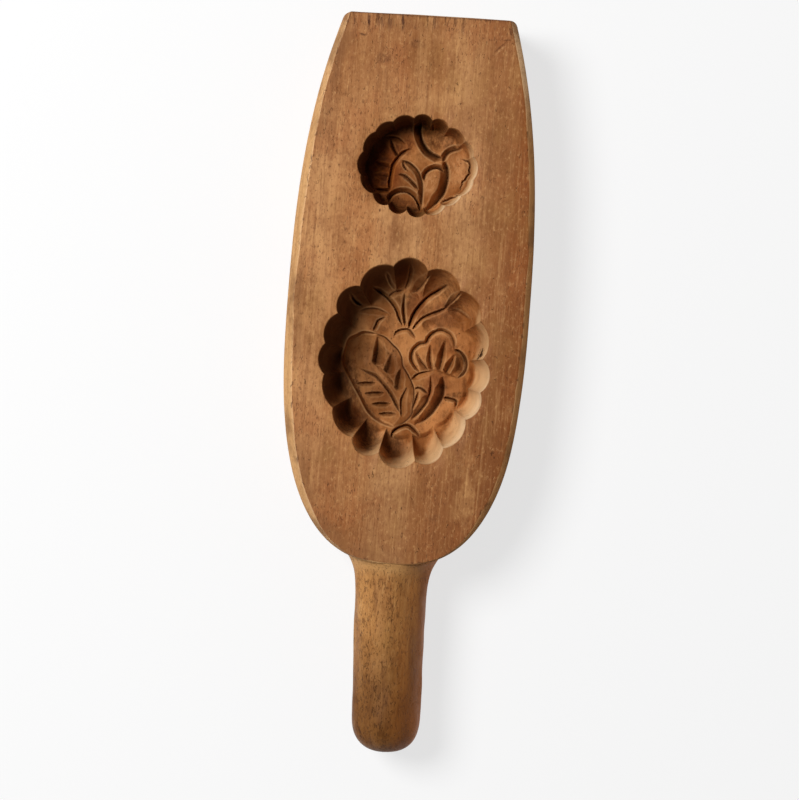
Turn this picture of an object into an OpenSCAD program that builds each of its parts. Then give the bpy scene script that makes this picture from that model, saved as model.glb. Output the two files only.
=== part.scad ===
// Wooden cake mold: a flat paddle with two scalloped cavities in its front face and a round grip.
// X runs across the paddle, Y from the grip to the free end, Z from the back face to the front face.
// The origin is under the middle of the whole mold, on the back face that it rests on.

/* [Paddle] */
// Length from the straight free end to the rounded foot
paddle_length = 222; // [210:1:240]
// Width at the widest place
paddle_width = 99; // [92:1:112]
// Thickness from the back face to the front face
paddle_thickness = 35; // [32:0.5:42]
// Width across the straight free end
end_width = 67; // [54:1:80]
// Distance from the free end to the widest place
widest_from_end = 119; // [100:1:135]
// Rounding of the worn back edge
back_round = 1.5; // [0.5:0.1:2.5]
// Width of the planed bevel along each long front edge
bevel_width = 2.8; // [1:0.1:4]
// Height of that bevel, down the side
bevel_height = 7; // [3:0.5:12]

/* [Large cavity] */
// Width across the mouth, from lobe to lobe
large_width = 69; // [62:0.5:74]
// Length along the mouth, from lobe to lobe
large_length = 85; // [78:0.5:90]
// Depth from the front face to the floor
large_depth = 22; // [16:0.5:26]
// Distance from the free end to the middle of the cavity
large_from_end = 140; // [136:1:146]
// Width across the floor
large_floor_width = 51; // [44:0.5:56]
// Length along the floor
large_floor_length = 59; // [50:0.5:64]
// Radius of one lobe at the mouth
large_lobe_r = 7.2; // [6.8:0.1:8.5]
// Radius of one lobe at the floor
large_floor_lobe_r = 5; // [4.6:0.1:6]

/* [Small cavity] */
// Width across the mouth, from lobe to lobe
small_width = 48; // [42:0.5:54]
// Length along the mouth, from lobe to lobe
small_length = 42; // [38:0.5:46]
// Depth from the front face to the floor
small_depth = 16; // [12:0.5:22]
// Distance from the free end to the middle of the cavity
small_from_end = 60; // [54:1:66]
// Sideways distance from the paddle's middle line to the middle of the cavity
small_off_middle = -2; // [-5:0.5:5]
// Width across the floor
small_floor_width = 41; // [36:0.5:46]
// Length along the floor
small_floor_length = 35; // [31:0.5:40]
// Radius of one lobe at the mouth
small_lobe_r = 4.2; // [4:0.1:5]
// Radius of one lobe at the floor
small_floor_lobe_r = 3.6; // [3.4:0.1:4.4]

/* [Carving] */
// Depth of the chip cuts in the cavity floors
chip_depth = 1.6; // [0.8:0.1:2.4]
// Width of a petal's cut
petal_width = 4.4; // [2.5:0.1:5.5]
// Width of a leaf vein's or a stem's cut
vein_width = 2.4; // [1.2:0.1:3]
// Length of a petal's cut in the large fan
fan_petal_length = 9.5; // [6:0.5:10]
// Length of a petal's cut in the large side flower
flower_petal_length = 6; // [4:0.5:7]
// Length of the large leaf's middle vein
large_leaf_length = 25; // [18:0.5:26]
// Length of the small leaf's middle vein
small_leaf_length = 14; // [10:0.5:16]

/* [Grip] */
// Length from the paddle's foot to the butt
grip_length = 78; // [70:1:95]
// Diameter just below the neck
neck_diameter = 28; // [24:0.2:30]
// Diameter where the butt starts to round over
butt_diameter = 27; // [22:0.2:30]
// How far the middle of the grip swells beyond a straight taper
grip_swell = 0.6; // [0:0.1:1.5]
// Length of the rounded butt
butt_length = 16; // [10:0.5:22]
// Radius of the hollow curve where the grip meets the paddle
cove_r = 8; // [5:0.5:10]
// Distance from the paddle's foot to the lower end of that curve
cove_drop = 4; // [2:0.5:6]

/* [Tenon] */
// Diameter of the tenon that holds the grip in the paddle
tenon_diameter = 16; // [12:0.5:20]
// Length of the tenon
tenon_length = 32; // [24:1:34]
// Room for glue round the tenon and at the shoulder
glue_gap = 0.1; // [0.05:0.01:0.3]

/* [Hidden] */
$fn = 96;
LOBES = 16;
SIDE_STEPS = 20;
FOOT_STEPS = 24;
BACK_STEPS = 3;
GRIP_STEPS = 12;
BUTT_STEPS = 12;
// Exponents of the curves that the sides and the foot follow
SIDE_POWER = 2.6;
FOOT_POWER = 2.6;
BUTT_POWER = 2.3;
// How far the cove turns away from the grip, in degrees
COVE_TURN = 60;
// How far a cutting shape runs past the face that it opens
PAST = 8;
// How far a chip cut's sides are carried up into the open cavity
CHIP_LIFT = 0.3;
// Wood left uncut in the middle of a fan and at each corner of a row of cuts
PETAL_START = 2.5;
CORNER_LEFT = 0.6;
// Turn of a leaf's side veins away from its middle vein, and their share of its length
VEIN_ANGLE = 40;
VEIN_SHARE = 0.25;
// Places of the motifs on the floors, from the middle of each cavity
LARGE_FAN_BASE = [0, 14];
LARGE_FLOWER_BASE = [13, -2];
LARGE_LEAF_BASE = [-0.5, -22];
STEM_START = [2, 1];
SMALL_LEAF_BASE = [2, -11];
SMALL_CRESCENT = [[0, 14], [2.5, 8], [9, 4]];
SMALL_POD = [[3.5, 0], [8, 3], [12, -2], [10, -8], [5, -13]];
// Empty space left beyond the end of the tenon
TENON_END_ROOM = 1;

overall_length = paddle_length + grip_length;
end_y = overall_length / 2;
foot_y = end_y - paddle_length;
butt_y = foot_y - grip_length;
widest_y = end_y - widest_from_end;
axis_z = paddle_thickness / 2;

WOOD = "peru";
GRIP_WOOD = "burlywood";

// Right half of the paddle's outline, from the free end to the foot, drawn in by inset all round
// and by bevel across the width alone, so that a bevel dies out at the foot
function side_points(inset, bevel) =
  let (half = paddle_width / 2 - inset - bevel, rise = widest_from_end - inset)
  let (narrowing = (paddle_width - end_width) / 2)
  [for (i = [0 : SIDE_STEPS - 1])
    let (u = 1 - i / SIDE_STEPS)
    [half - narrowing * pow(u, SIDE_POWER), widest_y + rise * u]];

function foot_points(inset, bevel) =
  let (half = paddle_width / 2 - inset - bevel, drop = paddle_length - widest_from_end - inset)
  [for (i = [0 : FOOT_STEPS])
    let (t = 90 * i / FOOT_STEPS)
    [half * pow(cos(t), 2 / FOOT_POWER), widest_y - drop * pow(sin(t), 2 / FOOT_POWER)]];

function outline(inset, bevel = 0) =
  let (right = concat(side_points(inset, bevel), foot_points(inset, bevel)), n = len(right))
  concat(right, [for (i = [n - 2 : -1 : 0]) [-right[i].x, right[i].y]]);

function lifted_outline(inset, bevel, z) = [for (p = outline(inset, bevel)) [p.x, p.y, z]];

// Closed solid through rings of points that all have the same count, each wound clockwise from above
module ring_solid(rings) {
  n = len(rings[0]);
  last = len(rings) - 1;
  sides = [for (k = [0 : last - 1], i = [0 : n - 1])
    let (j = (i + 1) % n)
    [k * n + i, k * n + j, (k + 1) * n + j, (k + 1) * n + i]];
  back = [for (i = [n - 1 : -1 : 0]) i];
  front = [for (i = [0 : n - 1]) last * n + i];
  polyhedron(points = [for (ring = rings, p = ring) p], faces = concat(sides, [back], [front]));
}

// The paddle before carving: round back edge, straight side, bevel, front face
module paddle_blank() {
  back_rings = [for (i = [0 : BACK_STEPS])
    let (a = 90 * i / BACK_STEPS)
    lifted_outline(back_round * (1 - sin(a)), 0, back_round * (1 - cos(a)))];
  ring_solid(concat(
    back_rings,
    [lifted_outline(0, 0, paddle_thickness - bevel_height)],
    [lifted_outline(0, bevel_width, paddle_thickness)]));
}

// Angle of a lobe on an oval, eased so that the lobes are evenly spaced along it
function lobe_angle(i, across, along) =
  let (a = 360 * i / LOBES)
  let (ease = (along * along - across * across) / (4 * (along * along + across * across)))
  a - ease * sin(2 * a) * 180 / PI;

// Centre of each lobe on an oval of the given outer size, at height z
function lobe_ring(width, length, lobe_r, z) =
  let (across = width / 2 - lobe_r, along = length / 2 - lobe_r)
  [for (i = [0 : LOBES - 1])
    let (a = lobe_angle(i, across, along))
    [across * cos(a), along * sin(a), z]];

// One gouge cut: a cone from a point on the floor to a point on the mouth, run past both
module flute(floor_point, mouth_point, floor_r, mouth_r) {
  v = mouth_point - floor_point;
  reach = norm(v);
  flare = (mouth_r - floor_r) / reach;
  translate(floor_point)
    rotate([0, acos(v.z / reach), atan2(v.y, v.x)])
      translate([0, 0, -PAST])
        cylinder(h = reach + 2 * PAST, r1 = floor_r - flare * PAST, r2 = mouth_r + flare * PAST);
}

// Scalloped hollow, drawn round the middle of its mouth at z = 0 and going down to its floor
module scalloped_hollow(width, length, depth, floor_width, floor_length, mouth_r, floor_r) {
  mouth = lobe_ring(width, length, mouth_r, 0);
  floor = lobe_ring(floor_width, floor_length, floor_r, -depth);
  lifted = [for (i = [0 : LOBES - 1]) mouth[i] + (mouth[i] - floor[i]) * PAST / depth / 2];
  clockwise = [for (i = [LOBES - 1 : -1 : 0]) i];
  intersection() {
    translate([-width / 2 - PAST, -length / 2 - PAST, -depth])
      cube([width + 2 * PAST, length + 2 * PAST, depth + PAST / 2]);
    union() {
      ring_solid([[for (i = clockwise) floor[i]], [for (i = clockwise) lifted[i]]]);
      for (i = [0 : LOBES - 1]) flute(floor[i], mouth[i], floor_r, mouth_r);
    }
  }
}

module large_hollow() {
  translate([0, end_y - large_from_end, paddle_thickness])
    scalloped_hollow(large_width, large_length, large_depth, large_floor_width, large_floor_length,
      large_lobe_r, large_floor_lobe_r);
}

module small_hollow() {
  translate([small_off_middle, end_y - small_from_end, paddle_thickness])
    scalloped_hollow(small_width, small_length, small_depth, small_floor_width, small_floor_length,
      small_lobe_r, small_floor_lobe_r);
}

// One chip cut in a floor at z = 0: pointed at both ends and deepest at the middle, its four sloping
// sides carried a little way up into the open cavity
module chip(start, end, width) {
  along = (end - start) / norm(end - start);
  across = [-along.y, along.x];
  grow = 1 + CHIP_LIFT / chip_depth;
  mid = (start + end) / 2;
  tips = [start - mid, across * width / 2, end - mid, -across * width / 2];
  polyhedron(
    points = concat(
      [for (t = tips) let (q = mid + t * grow) [q.x, q.y, CHIP_LIFT]],
      [[mid.x, mid.y, -chip_depth]]),
    faces = [[0, 1, 2], [0, 2, 3], [1, 0, 4], [2, 1, 4], [3, 2, 4], [0, 3, 4]]);
}

function polar(from, length, angle) = from + length * [cos(angle), sin(angle)];

// Petals that spread evenly from one point, leaving its middle uncut
module petal_fan(base, count, first_angle, last_angle, length) {
  for (i = [0 : count - 1]) {
    a = first_angle + (last_angle - first_angle) * i / (count - 1);
    chip(polar(base, PETAL_START, a), polar(base, PETAL_START + length, a), petal_width);
  }
}

// A leaf: its middle vein, and side veins that stand clear of it on both sides and point to its tip
module leaf(base, angle, length, veins) {
  chip(base, polar(base, length, angle), vein_width);
  for (i = [1 : veins], side = [-1, 1]) {
    root = polar(polar(base, length * i / (veins + 1), angle), vein_width, angle + side * 90);
    chip(root, polar(root, length * VEIN_SHARE, angle + side * VEIN_ANGLE), vein_width);
  }
}

// A row of cuts that follows a bent line, with the corners left uncut
module chip_row(points) {
  for (i = [0 : len(points) - 2]) {
    step = (points[i + 1] - points[i]) / norm(points[i + 1] - points[i]);
    chip(points[i] + step * CORNER_LEFT, points[i + 1] - step * CORNER_LEFT, petal_width);
  }
}

module large_carving() {
  translate([0, end_y - large_from_end, paddle_thickness - large_depth]) {
    petal_fan(LARGE_FAN_BASE, 7, 30, 152, fan_petal_length);
    petal_fan(LARGE_FLOWER_BASE, 5, 15, 165, flower_petal_length);
    leaf(LARGE_LEAF_BASE, 132, large_leaf_length, 4);
    chip_row([LARGE_LEAF_BASE + STEM_START, LARGE_FLOWER_BASE]);
  }
}

module small_carving() {
  translate([small_off_middle, end_y - small_from_end, paddle_thickness - small_depth]) {
    leaf(SMALL_LEAF_BASE, 132, small_leaf_length, 3);
    chip_row(SMALL_CRESCENT);
    chip_row(SMALL_POD);
  }
}

module mortise() {
  translate([0, foot_y - PAST, axis_z])
    rotate([-90, 0, 0])
      cylinder(h = tenon_length + TENON_END_ROOM + PAST, d = tenon_diameter + 2 * glue_gap);
}

module mold_board() {
  color(WOOD)
    difference() {
      paddle_blank();
      large_hollow();
      small_hollow();
      large_carving();
      small_carving();
      mortise();
    }
}

// Profile of the grip, as radius and Y, from the neck to the butt's tip
function grip_points(start_y) =
  let (neck_r = neck_diameter / 2, butt_r = butt_diameter / 2, stop_y = butt_y + butt_length)
  concat(
    [for (i = [0 : GRIP_STEPS])
      let (t = i / GRIP_STEPS)
      [neck_r + (butt_r - neck_r) * t + 4 * grip_swell * t * (1 - t), start_y + (stop_y - start_y) * t]],
    [for (i = [1 : BUTT_STEPS])
      let (a = 90 * i / BUTT_STEPS)
      [butt_r * pow(cos(a), 2 / BUTT_POWER), stop_y - butt_length * pow(sin(a), 2 / BUTT_POWER)]]);

// Half of the grip's section, drawn as radius and Y, with the cove running up into the paddle
module grip_section() {
  neck_r = neck_diameter / 2;
  start_y = foot_y - cove_drop;
  polygon(concat([[0, start_y]], grip_points(start_y)));
  difference() {
    translate([0, start_y]) square([neck_r + cove_r * (1 - cos(COVE_TURN)), cove_drop + tenon_length / 2]);
    translate([neck_r + cove_r, start_y]) circle(r = cove_r);
  }
}

module handle() {
  color(GRIP_WOOD)
    translate([0, 0, axis_z]) {
      difference() {
        rotate([-90, 0, 0]) rotate_extrude() grip_section();
        linear_extrude(height = 2 * paddle_thickness, center = true) polygon(outline(-glue_gap));
      }
      translate([0, foot_y - cove_drop, 0])
        rotate([-90, 0, 0])
          cylinder(h = cove_drop + tenon_length, d = tenon_diameter);
    }
}

mold_board();
handle();
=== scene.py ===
# %% [markdown]
# This mold is one stick of wood: a flat paddle with two scalloped hollows carved into its face,
# and a round grip below it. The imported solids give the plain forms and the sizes. Here we load
# them as a fixed frame and then carve the two visible pieces again, finely, in the same place.

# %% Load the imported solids
import math
from types import SimpleNamespace

import bmesh
import bpy
import numpy as np
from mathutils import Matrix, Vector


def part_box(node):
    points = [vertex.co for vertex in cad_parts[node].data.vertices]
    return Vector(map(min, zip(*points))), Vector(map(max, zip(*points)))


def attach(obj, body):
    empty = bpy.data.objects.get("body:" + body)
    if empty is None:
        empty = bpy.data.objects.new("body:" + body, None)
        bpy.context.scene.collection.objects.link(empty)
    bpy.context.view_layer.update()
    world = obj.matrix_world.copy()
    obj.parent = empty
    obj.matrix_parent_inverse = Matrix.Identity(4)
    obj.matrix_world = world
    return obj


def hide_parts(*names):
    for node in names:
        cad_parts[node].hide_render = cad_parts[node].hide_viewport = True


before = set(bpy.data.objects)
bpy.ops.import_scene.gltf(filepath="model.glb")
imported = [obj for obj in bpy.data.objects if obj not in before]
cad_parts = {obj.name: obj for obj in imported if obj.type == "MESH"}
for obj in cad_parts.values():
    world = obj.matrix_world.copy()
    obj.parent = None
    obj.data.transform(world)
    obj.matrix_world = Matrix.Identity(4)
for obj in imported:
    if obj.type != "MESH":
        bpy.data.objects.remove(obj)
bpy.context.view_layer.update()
MM = 0.001

# %% [markdown]
# All shapes below are worked out in millimetres and turned to metres when a mesh is made.
# The paddle's length, width and thickness come from the loaded solids, so the carving
# can't drift away from them.

# %% Sizes taken from the frame
SHAVED = 0.2
board_low, board_high = (np.array(corner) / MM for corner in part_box("mold_board"))
HALF = board_high[0] - SHAVED
FOOT_Y, END_Y = board_low[1], board_high[1]
FACE_Z = board_high[2]
BUTT_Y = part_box("handle")[0][1] / MM
print("half width", HALF, "foot", FOOT_Y, "free end", END_Y, "face", FACE_Z, "butt", BUTT_Y)

# %% [markdown]
# Carved work is never quite even. Two small helpers give smooth, repeatable unevenness: sums of
# sine waves whose phases come from a seeded generator, along a line or over a plane.

# %% Unevenness of carved work
def wander(t, seed, waves=5, lowest=1.0):
    """Sum of sine waves of t, each wave faster and weaker than the last, within about -1 to 1."""
    rng = np.random.default_rng(seed)
    order = np.arange(waves)
    speed = lowest * 1.7 ** order * rng.uniform(0.8, 1.2, waves)
    phase = rng.uniform(0, 2 * np.pi, waves)
    weight = 0.75 ** order
    return (np.sin(np.multiply.outer(t, speed) + phase) * weight).sum(-1) / weight.sum()


def swells(x, y, seed, waves=9, length=40.0):
    """Sum of plane sine waves in random directions, with wave lengths from length down to a third of it."""
    rng = np.random.default_rng(seed)
    turn = rng.uniform(0, 2 * np.pi, waves)
    speed = 2 * np.pi / (length * rng.uniform(0.33, 1.0, waves))
    phase = rng.uniform(0, 2 * np.pi, waves)
    wave = np.multiply.outer(x, speed * np.cos(turn)) + np.multiply.outer(y, speed * np.sin(turn))
    return np.sin(wave + phase).sum(-1) / waves


FACE_DIP = 0.3


def face_height(x, y):
    """Height of the front face: the solid's face less a shallow unevenness left by the plane."""
    return FACE_Z - FACE_DIP * (0.5 + 0.5 * swells(x, y, seed=3, length=70.0))


print("face dips by up to", FACE_DIP, "mm")

# %% [markdown]
# The paddle's outline in plan bulges softly, is widest below its middle, and closes in a full
# round at the foot. Two power curves give it, as in the solids. Points are spread evenly along
# the curve, because even spacing keeps the mesh's faces well shaped.

# %% The paddle's outline
WIDEST_Y = 31.0
END_HALF = 34.8
SIDE_POWER = 2.6
FOOT_POWER = 2.65
CORNER_R = 2.6
SPLIT_Y = 60.5
CURVE_POINTS, CORNER_POINTS = 1500, 40
LOW_STEPS, UP_STEPS, CORNER_STEPS, END_STEPS, SPLIT_STEPS = 237, 92, 10, 31, 134


def spread(points, steps):
    """The same curve with steps + 1 points, an equal length of curve apart."""
    length = np.concatenate([[0], np.cumsum(np.hypot(*np.diff(points, axis=0).T))])
    at = np.linspace(0, length[-1], steps + 1)
    return np.stack([np.interp(at, length, points[:, k]) for k in (0, 1)], 1)


def foot_curve():
    """From the middle of the foot to the widest place: x = half cos(t)^(2/p) and
    y = widest - drop sin(t)^(2/p)."""
    t = np.linspace(np.pi / 2, 0, CURVE_POINTS)
    x = HALF * np.abs(np.cos(t)) ** (2 / FOOT_POWER)
    y = WIDEST_Y - (WIDEST_Y - FOOT_Y) * np.sin(t) ** (2 / FOOT_POWER)
    return np.stack([x, y], 1)


def side_curve():
    """From the widest place to the free end: x = half - narrowing u^p, with u from 0 to 1 along y."""
    u = np.linspace(0, 1, CURVE_POINTS)
    return np.stack([HALF - (HALF - END_HALF) * u ** SIDE_POWER, WIDEST_Y + (END_Y - WIDEST_Y) * u], 1)


def corner_curve(before, corner):
    """A short curve that leaves before towards the corner and ends CORNER_R past it on the end edge."""
    s = np.linspace(0, 1, CORNER_POINTS)[:, None]
    after = corner - np.array([CORNER_R, 0.0])
    return (1 - s) ** 2 * before + 2 * s * (1 - s) * corner + s ** 2 * after


side = side_curve()
low_part = np.concatenate([foot_curve(), side[1:][side[1:, 1] < SPLIT_Y]])
high_part = side[(side[:, 1] >= SPLIT_Y) & (side[:, 1] < END_Y - CORNER_R)]
corner_part = corner_curve(high_part[-1], side[-1])
end_part = np.array([corner_part[-1], [0.0, END_Y]])
low_right = spread(np.concatenate([low_part, high_part[:1]]), LOW_STEPS)
high_right = np.concatenate([
    spread(high_part, UP_STEPS)[:-1],
    spread(corner_part, CORNER_STEPS)[:-1],
    spread(end_part, END_STEPS),
])
MIRROR = np.array([-1.0, 1.0])
outline = np.concatenate([
    high_right[:-1],
    (high_right * MIRROR)[::-1][:-1],
    (low_right * MIRROR)[::-1][:-1],
    low_right[:-1],
])
LEFT_SPLIT = 2 * (len(high_right) - 1)
print("outline has", len(outline), "points, left end of the split line at", LEFT_SPLIT)

# %% [markdown]
# The real outline is not quite square or even. The free end was sawn at a slight slant, so its
# left corner is lower, and the right side was planed down more than the left. We keep the
# square outline's heights as well, because the back is closed along its middle with them.

# %% The slanting end and the slimmer right side
END_SKEW = math.radians(1.0)
RIGHT_TRIM = 0.8
TRIM_START, TRIM_RUN, TRIM_SIDE = -42.0, 40.0, 30.0
square_y = outline[:, 1].copy()
skewed = np.clip((outline[:, 1] - SPLIT_Y) / (END_Y - SPLIT_Y), 0, 1) ** 3
outline[:, 1] -= skewed * (END_HALF - outline[:, 0]) * math.tan(END_SKEW)
trimmed = np.clip((outline[:, 1] - TRIM_START) / TRIM_RUN, 0, 1) * np.clip(outline[:, 0] / TRIM_SIDE, 0, 1)
outline[:, 0] -= RIGHT_TRIM * trimmed ** 2 * (3 - 2 * trimmed)
print("left corner lowered by", round(float(np.max(square_y - outline[:, 1])), 2), "mm")

# %% [markdown]
# Both long edges of the paddle are planed to a narrow slanting facet. It is wider and steeper on
# the left, and it runs out towards the foot and the free end. The facet's upper edge is the
# outline moved inwards, with small dents where the edge has been knocked.

# %% The planed edges
BEVEL_LEFT, BEVEL_RIGHT, BEVEL_END, BEVEL_FOOT = 3.5, 2.4, 0.35, 0.5
BEVEL_FADE, BEVEL_WAVER = 34.0, 0.22
BEVEL_TAPER, TAPER_FROM = 0.32, 75
DROP_LEFT, DROP_RIGHT, DROP_LEAST = 7.9, 1.8, 0.5
KNOCKS = 46


def knocks(along, seed):
    """Dents along a closed edge: the sum of narrow bell curves at random places, of random depth."""
    rng = np.random.default_rng(seed)
    place = rng.uniform(0, along[-1], KNOCKS)
    wide = rng.uniform(0.5, 2.2, KNOCKS)
    deep = rng.uniform(0.05, 0.45, KNOCKS) ** 1.5
    return (deep * np.exp(-((along[:, None] - place) / wide) ** 2)).sum(1)


steps = np.roll(outline, -1, 0) - np.roll(outline, 1, 0)
outward = np.stack([steps[:, 1], -steps[:, 0]], 1) / np.hypot(*steps.T)[:, None]
along_edge = np.concatenate([[0], np.cumsum(np.hypot(*np.diff(outline, axis=0).T))])
on_left = outline[:, 0] < 0
facet = np.where(on_left, BEVEL_LEFT, BEVEL_RIGHT) * np.clip(np.abs(outline[:, 0]) / BEVEL_FADE, 0, 1) ** 1.5
facet = facet * (1 + BEVEL_WAVER * wander(along_edge, seed=11, lowest=0.05))
facet[on_left] *= 1 - BEVEL_TAPER * np.clip((outline[on_left, 1] - TAPER_FROM) / (END_Y - TAPER_FROM), 0, 1)
inset = np.stack([
    -np.sign(outline[:, 0]) * facet * np.abs(outward[:, 0]),
    -outward[:, 1] * np.where(outward[:, 1] > 0, BEVEL_END, BEVEL_FOOT),
], 1)
inset -= outward * knocks(along_edge, seed=5)[:, None]
arris = outline + inset
print("facet is", round(float(facet.min()), 2), "to", round(float(facet.max()), 2), "mm wide")

# %% [markdown]
# The two hollows have scalloped mouths: sixteen gouge cuts each, set side by side by eye, so no
# two lobes are alike. Each mouth is given by its sixteen cusps and by how far each lobe bulges
# past the straight line between two cusps. The numbers are in a drawing that leans as the
# mold was seen, and a turn by the lean sets them upright. The walls on the lower right face the
# lamp; they are partly worn pale and partly painted pale as lit walls, while the walls opposite get
# painted shade. So each point of a mouth also says how far it lies towards the pale side of its lobe.

# %% The mouths of the hollows
LEAN = math.radians(4.4)
# The side that the lamp lights: walls facing it are partly worn pale and partly painted as lit, walls facing
# away are painted as shade.
WORN_AND_LIT_SIDE = np.array([0.89, -0.45])
LARGE_MID = np.array([-0.2, 9.2])
SMALL_MID = np.array([-1.5, 88.9])
# Each row is a cusp's x and y and the bulge of the lobe that follows it, going round to the left.
LARGE_MOUTH = np.array([
    (-4.5, 39.0, 3.7), (-18.0, 31.0, 4.0), (-27.0, 20.0, 2.6), (-32.0, 8.0, 2.6),
    (-32.5, -4.5, 2.2), (-29.0, -18.0, 2.8), (-21.0, -30.0, 4.2), (-10.5, -36.0, 4.8),
    (4.0, -39.5, 3.7), (15.5, -34.5, 3.0), (24.5, -23.0, 2.8), (30.5, -12.0, 3.4),
    (31.5, 1.5, 3.0), (30.5, 16.5, 3.4), (22.5, 29.0, 4.0), (9.5, 37.0, 4.3),
])
SMALL_MOUTH = np.array([
    (6.5, 18.0, 2.0), (-1.0, 19.0, 1.8), (-9.5, 17.5, 1.5), (-16.5, 13.5, 1.7),
    (-21.5, 5.5, 1.9), (-22.5, -4.0, 1.8), (-17.5, -11.5, 1.9), (-11.5, -16.0, 2.6),
    (-4.0, -18.0, 2.3), (3.5, -19.5, 1.9), (11.5, -16.5, 1.2), (18.0, -12.5, 1.4),
    (23.0, -6.0, 1.8), (23.0, 3.5, 1.3), (19.5, 9.5, 1.8), (13.0, 15.0, 1.9),
])


def turned(points, angle):
    """Points in a plane turned about the origin, anticlockwise by the angle."""
    c, s = math.cos(angle), math.sin(angle)
    return points @ np.array([[c, s], [-s, c]])


QUARTER_TURN = np.array([[0, -1], [1, 0]])


def scalloped(mouth, per_lobe):
    """Circular arcs from cusp to cusp. A chord c and a bulge h give the half angle 2 atan(2h / c) and the
    radius c / (2 sin). Two more numbers are each point's hump, 1 - s^2 with s from -1 to 1 across its
    lobe, and how much it lies on the worn, lamp-lit side of its lobe, s times the cosine between the
    chord and that side, where that is above 0; the latter sets painted light and shade across the lobe."""
    start, bulge = mouth[:, :2], mouth[:, 2:]
    chord = np.roll(start, -1, 0) - start
    c = np.hypot(*chord.T)[:, None]
    half_angle = 2 * np.arctan(2 * bulge / c)
    radius = c / (2 * np.sin(half_angle))
    across = 2 * np.arange(per_lobe) / per_lobe - 1
    turn = across * half_angle
    forward = (radius * np.sin(turn) / c + 0.5)[..., None] * chord[:, None]
    rise = (radius * (np.cos(turn) - np.cos(half_angle)) / c)[..., None]
    outwards = rise * chord[:, None] @ QUARTER_TURN
    points = turned((start[:, None] + forward + outwards).reshape(-1, 2), LEAN)
    far_side = across * np.clip(turned(chord / c, LEAN) @ WORN_AND_LIT_SIDE, 0, 1)[:, None]
    return np.column_stack([points, np.tile(1 - across ** 2, len(mouth)), far_side.ravel()])


LARGE_LOBE, SMALL_LOBE = 38, 25
large_rim = scalloped(LARGE_MOUTH, LARGE_LOBE) + (*LARGE_MID, 0, 0)
small_rim = scalloped(SMALL_MOUTH, SMALL_LOBE) + (*SMALL_MID, 0, 0)
for name, rim in (("large", large_rim), ("small", small_rim)):
    print(name, "mouth spans", np.round(np.ptp(rim[:, :2], axis=0), 1), "mm")

# %% [markdown]
# The face between the mouths and the edge has to be one sheet of faces without holes. It is
# cut in two across the paddle, between the hollows, and each half is a ring: the mouth is its
# inner loop and the half's border its outer loop. Both loops have the same number of
# points, so straight lines from one to the other fill the ring.

# %% Borders of the two halves
split_share = np.linspace(0, 1, SPLIT_STEPS + 1)[:, None]
split_line = arris[0] * (1 - split_share) + arris[LEFT_SPLIT] * split_share
large_border = np.concatenate([split_line[:-1], arris[LEFT_SPLIT:]])
small_border = np.concatenate([arris[:LEFT_SPLIT], split_line[::-1][:-1]])


def aligned(rim, border, middle):
    """The rim's points renumbered so that its first point lies in the direction of the border's first."""
    towards = border[0] - middle
    spoke = rim[:, :2] - middle
    angle = np.arctan2(spoke[:, 1], spoke[:, 0]) - math.atan2(towards[1], towards[0])
    return np.roll(rim, -int(np.argmin(np.abs(np.angle(np.exp(1j * angle))))), 0)


large_rim = aligned(large_rim, large_border, LARGE_MID)
small_rim = aligned(small_rim, small_border, SMALL_MID)
print("loops of", len(large_rim), len(large_border), "and", len(small_rim), len(small_border), "points")

# %% [markdown]
# The flowers and leaves inside the hollows are cut with a knife and a small gouge. A carver
# makes a steep stop cut along a line and then slices towards it from one side, so nearly every
# mark is a V with one steep and one gentle flank. Here each mark is a curve with a depth and the
# widths of its left and right flank, as seen when walking along the curve.

# %% Curves on the plan
def smooth_curve(points, per_span=10):
    """A curve through the points: on each span, the cubic whose slopes at its ends are half the
    difference of the neighbours."""
    p = np.asarray(points, float)
    p = np.concatenate([[2 * p[0] - p[1]], p, [2 * p[-1] - p[-2]]])
    a, b, c, d = (p[k:len(p) - 3 + k][:, None] for k in range(4))
    t = np.linspace(0, 1, per_span, endpoint=False)[None, :, None]
    bend = (2 * a - 5 * b + 4 * c - d) * t ** 2
    curve = 0.5 * (2 * b + (c - a) * t + bend + (3 * b - a - 3 * c + d) * t ** 3)
    return np.concatenate([curve.reshape(-1, 2), p[-2:-1]])


def nearest(x, y, curve):
    """For each place: its distance to the curve, whether it lies to the left, and how far along the
    nearest point is, 0 to 1."""
    a, d = curve[:-1], np.diff(curve, axis=0)
    size = np.hypot(*d.T)
    px, py = x[:, None] - a[:, 0], y[:, None] - a[:, 1]
    t = np.clip((px * d[:, 0] + py * d[:, 1]) / size ** 2, 0, 1)
    qx, qy = px - t * d[:, 0], py - t * d[:, 1]
    far = np.hypot(qx, qy)
    k = far.argmin(1)
    row = np.arange(len(x))
    left = d[k, 0] * qy[row, k] - d[k, 1] * qx[row, k] > 0
    gone = np.concatenate([[0], np.cumsum(size)])
    return far[row, k], left, (gone[k] + t[row, k] * size[k]) / gone[-1]


def inside(x, y, loop):
    """True where a line from the place towards +X crosses the loop an odd number of times."""
    x0, y0 = loop.T
    x1, y1 = np.roll(loop, -1, 0).T
    spans = (y0 > y[:, None]) != (y1 > y[:, None])
    rise = np.where(y1 == y0, 1e-9, y1 - y0)
    crossing = x0 + (y[:, None] - y0) / rise * (x1 - x0)
    return (spans & (x[:, None] < crossing)).sum(1) % 2 == 1


print("curves ready")

# %% [markdown]
# Three tools leave their depth on the floor: the knife's V, a lowered patch whose floor falls
# away from its edges, and the round hollow of a gouge. Old flour and oil sit in the bottom of a
# cut, darkened further with painted shade, and its upper edges get rubbed and given a painted
# highlight, so the knife gives those two as well.

# %% Knife cuts, lowered patches and gouge hollows
# Widths of the dark band in a cut's bottom, dirt with painted shade, and of its rubbed arris, which carries a
# painted highlight.
DIRT_SHADE_WIDE, ARRIS_WIDE = 0.55, 0.5
THIN_WIDTH = 0.35


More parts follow.
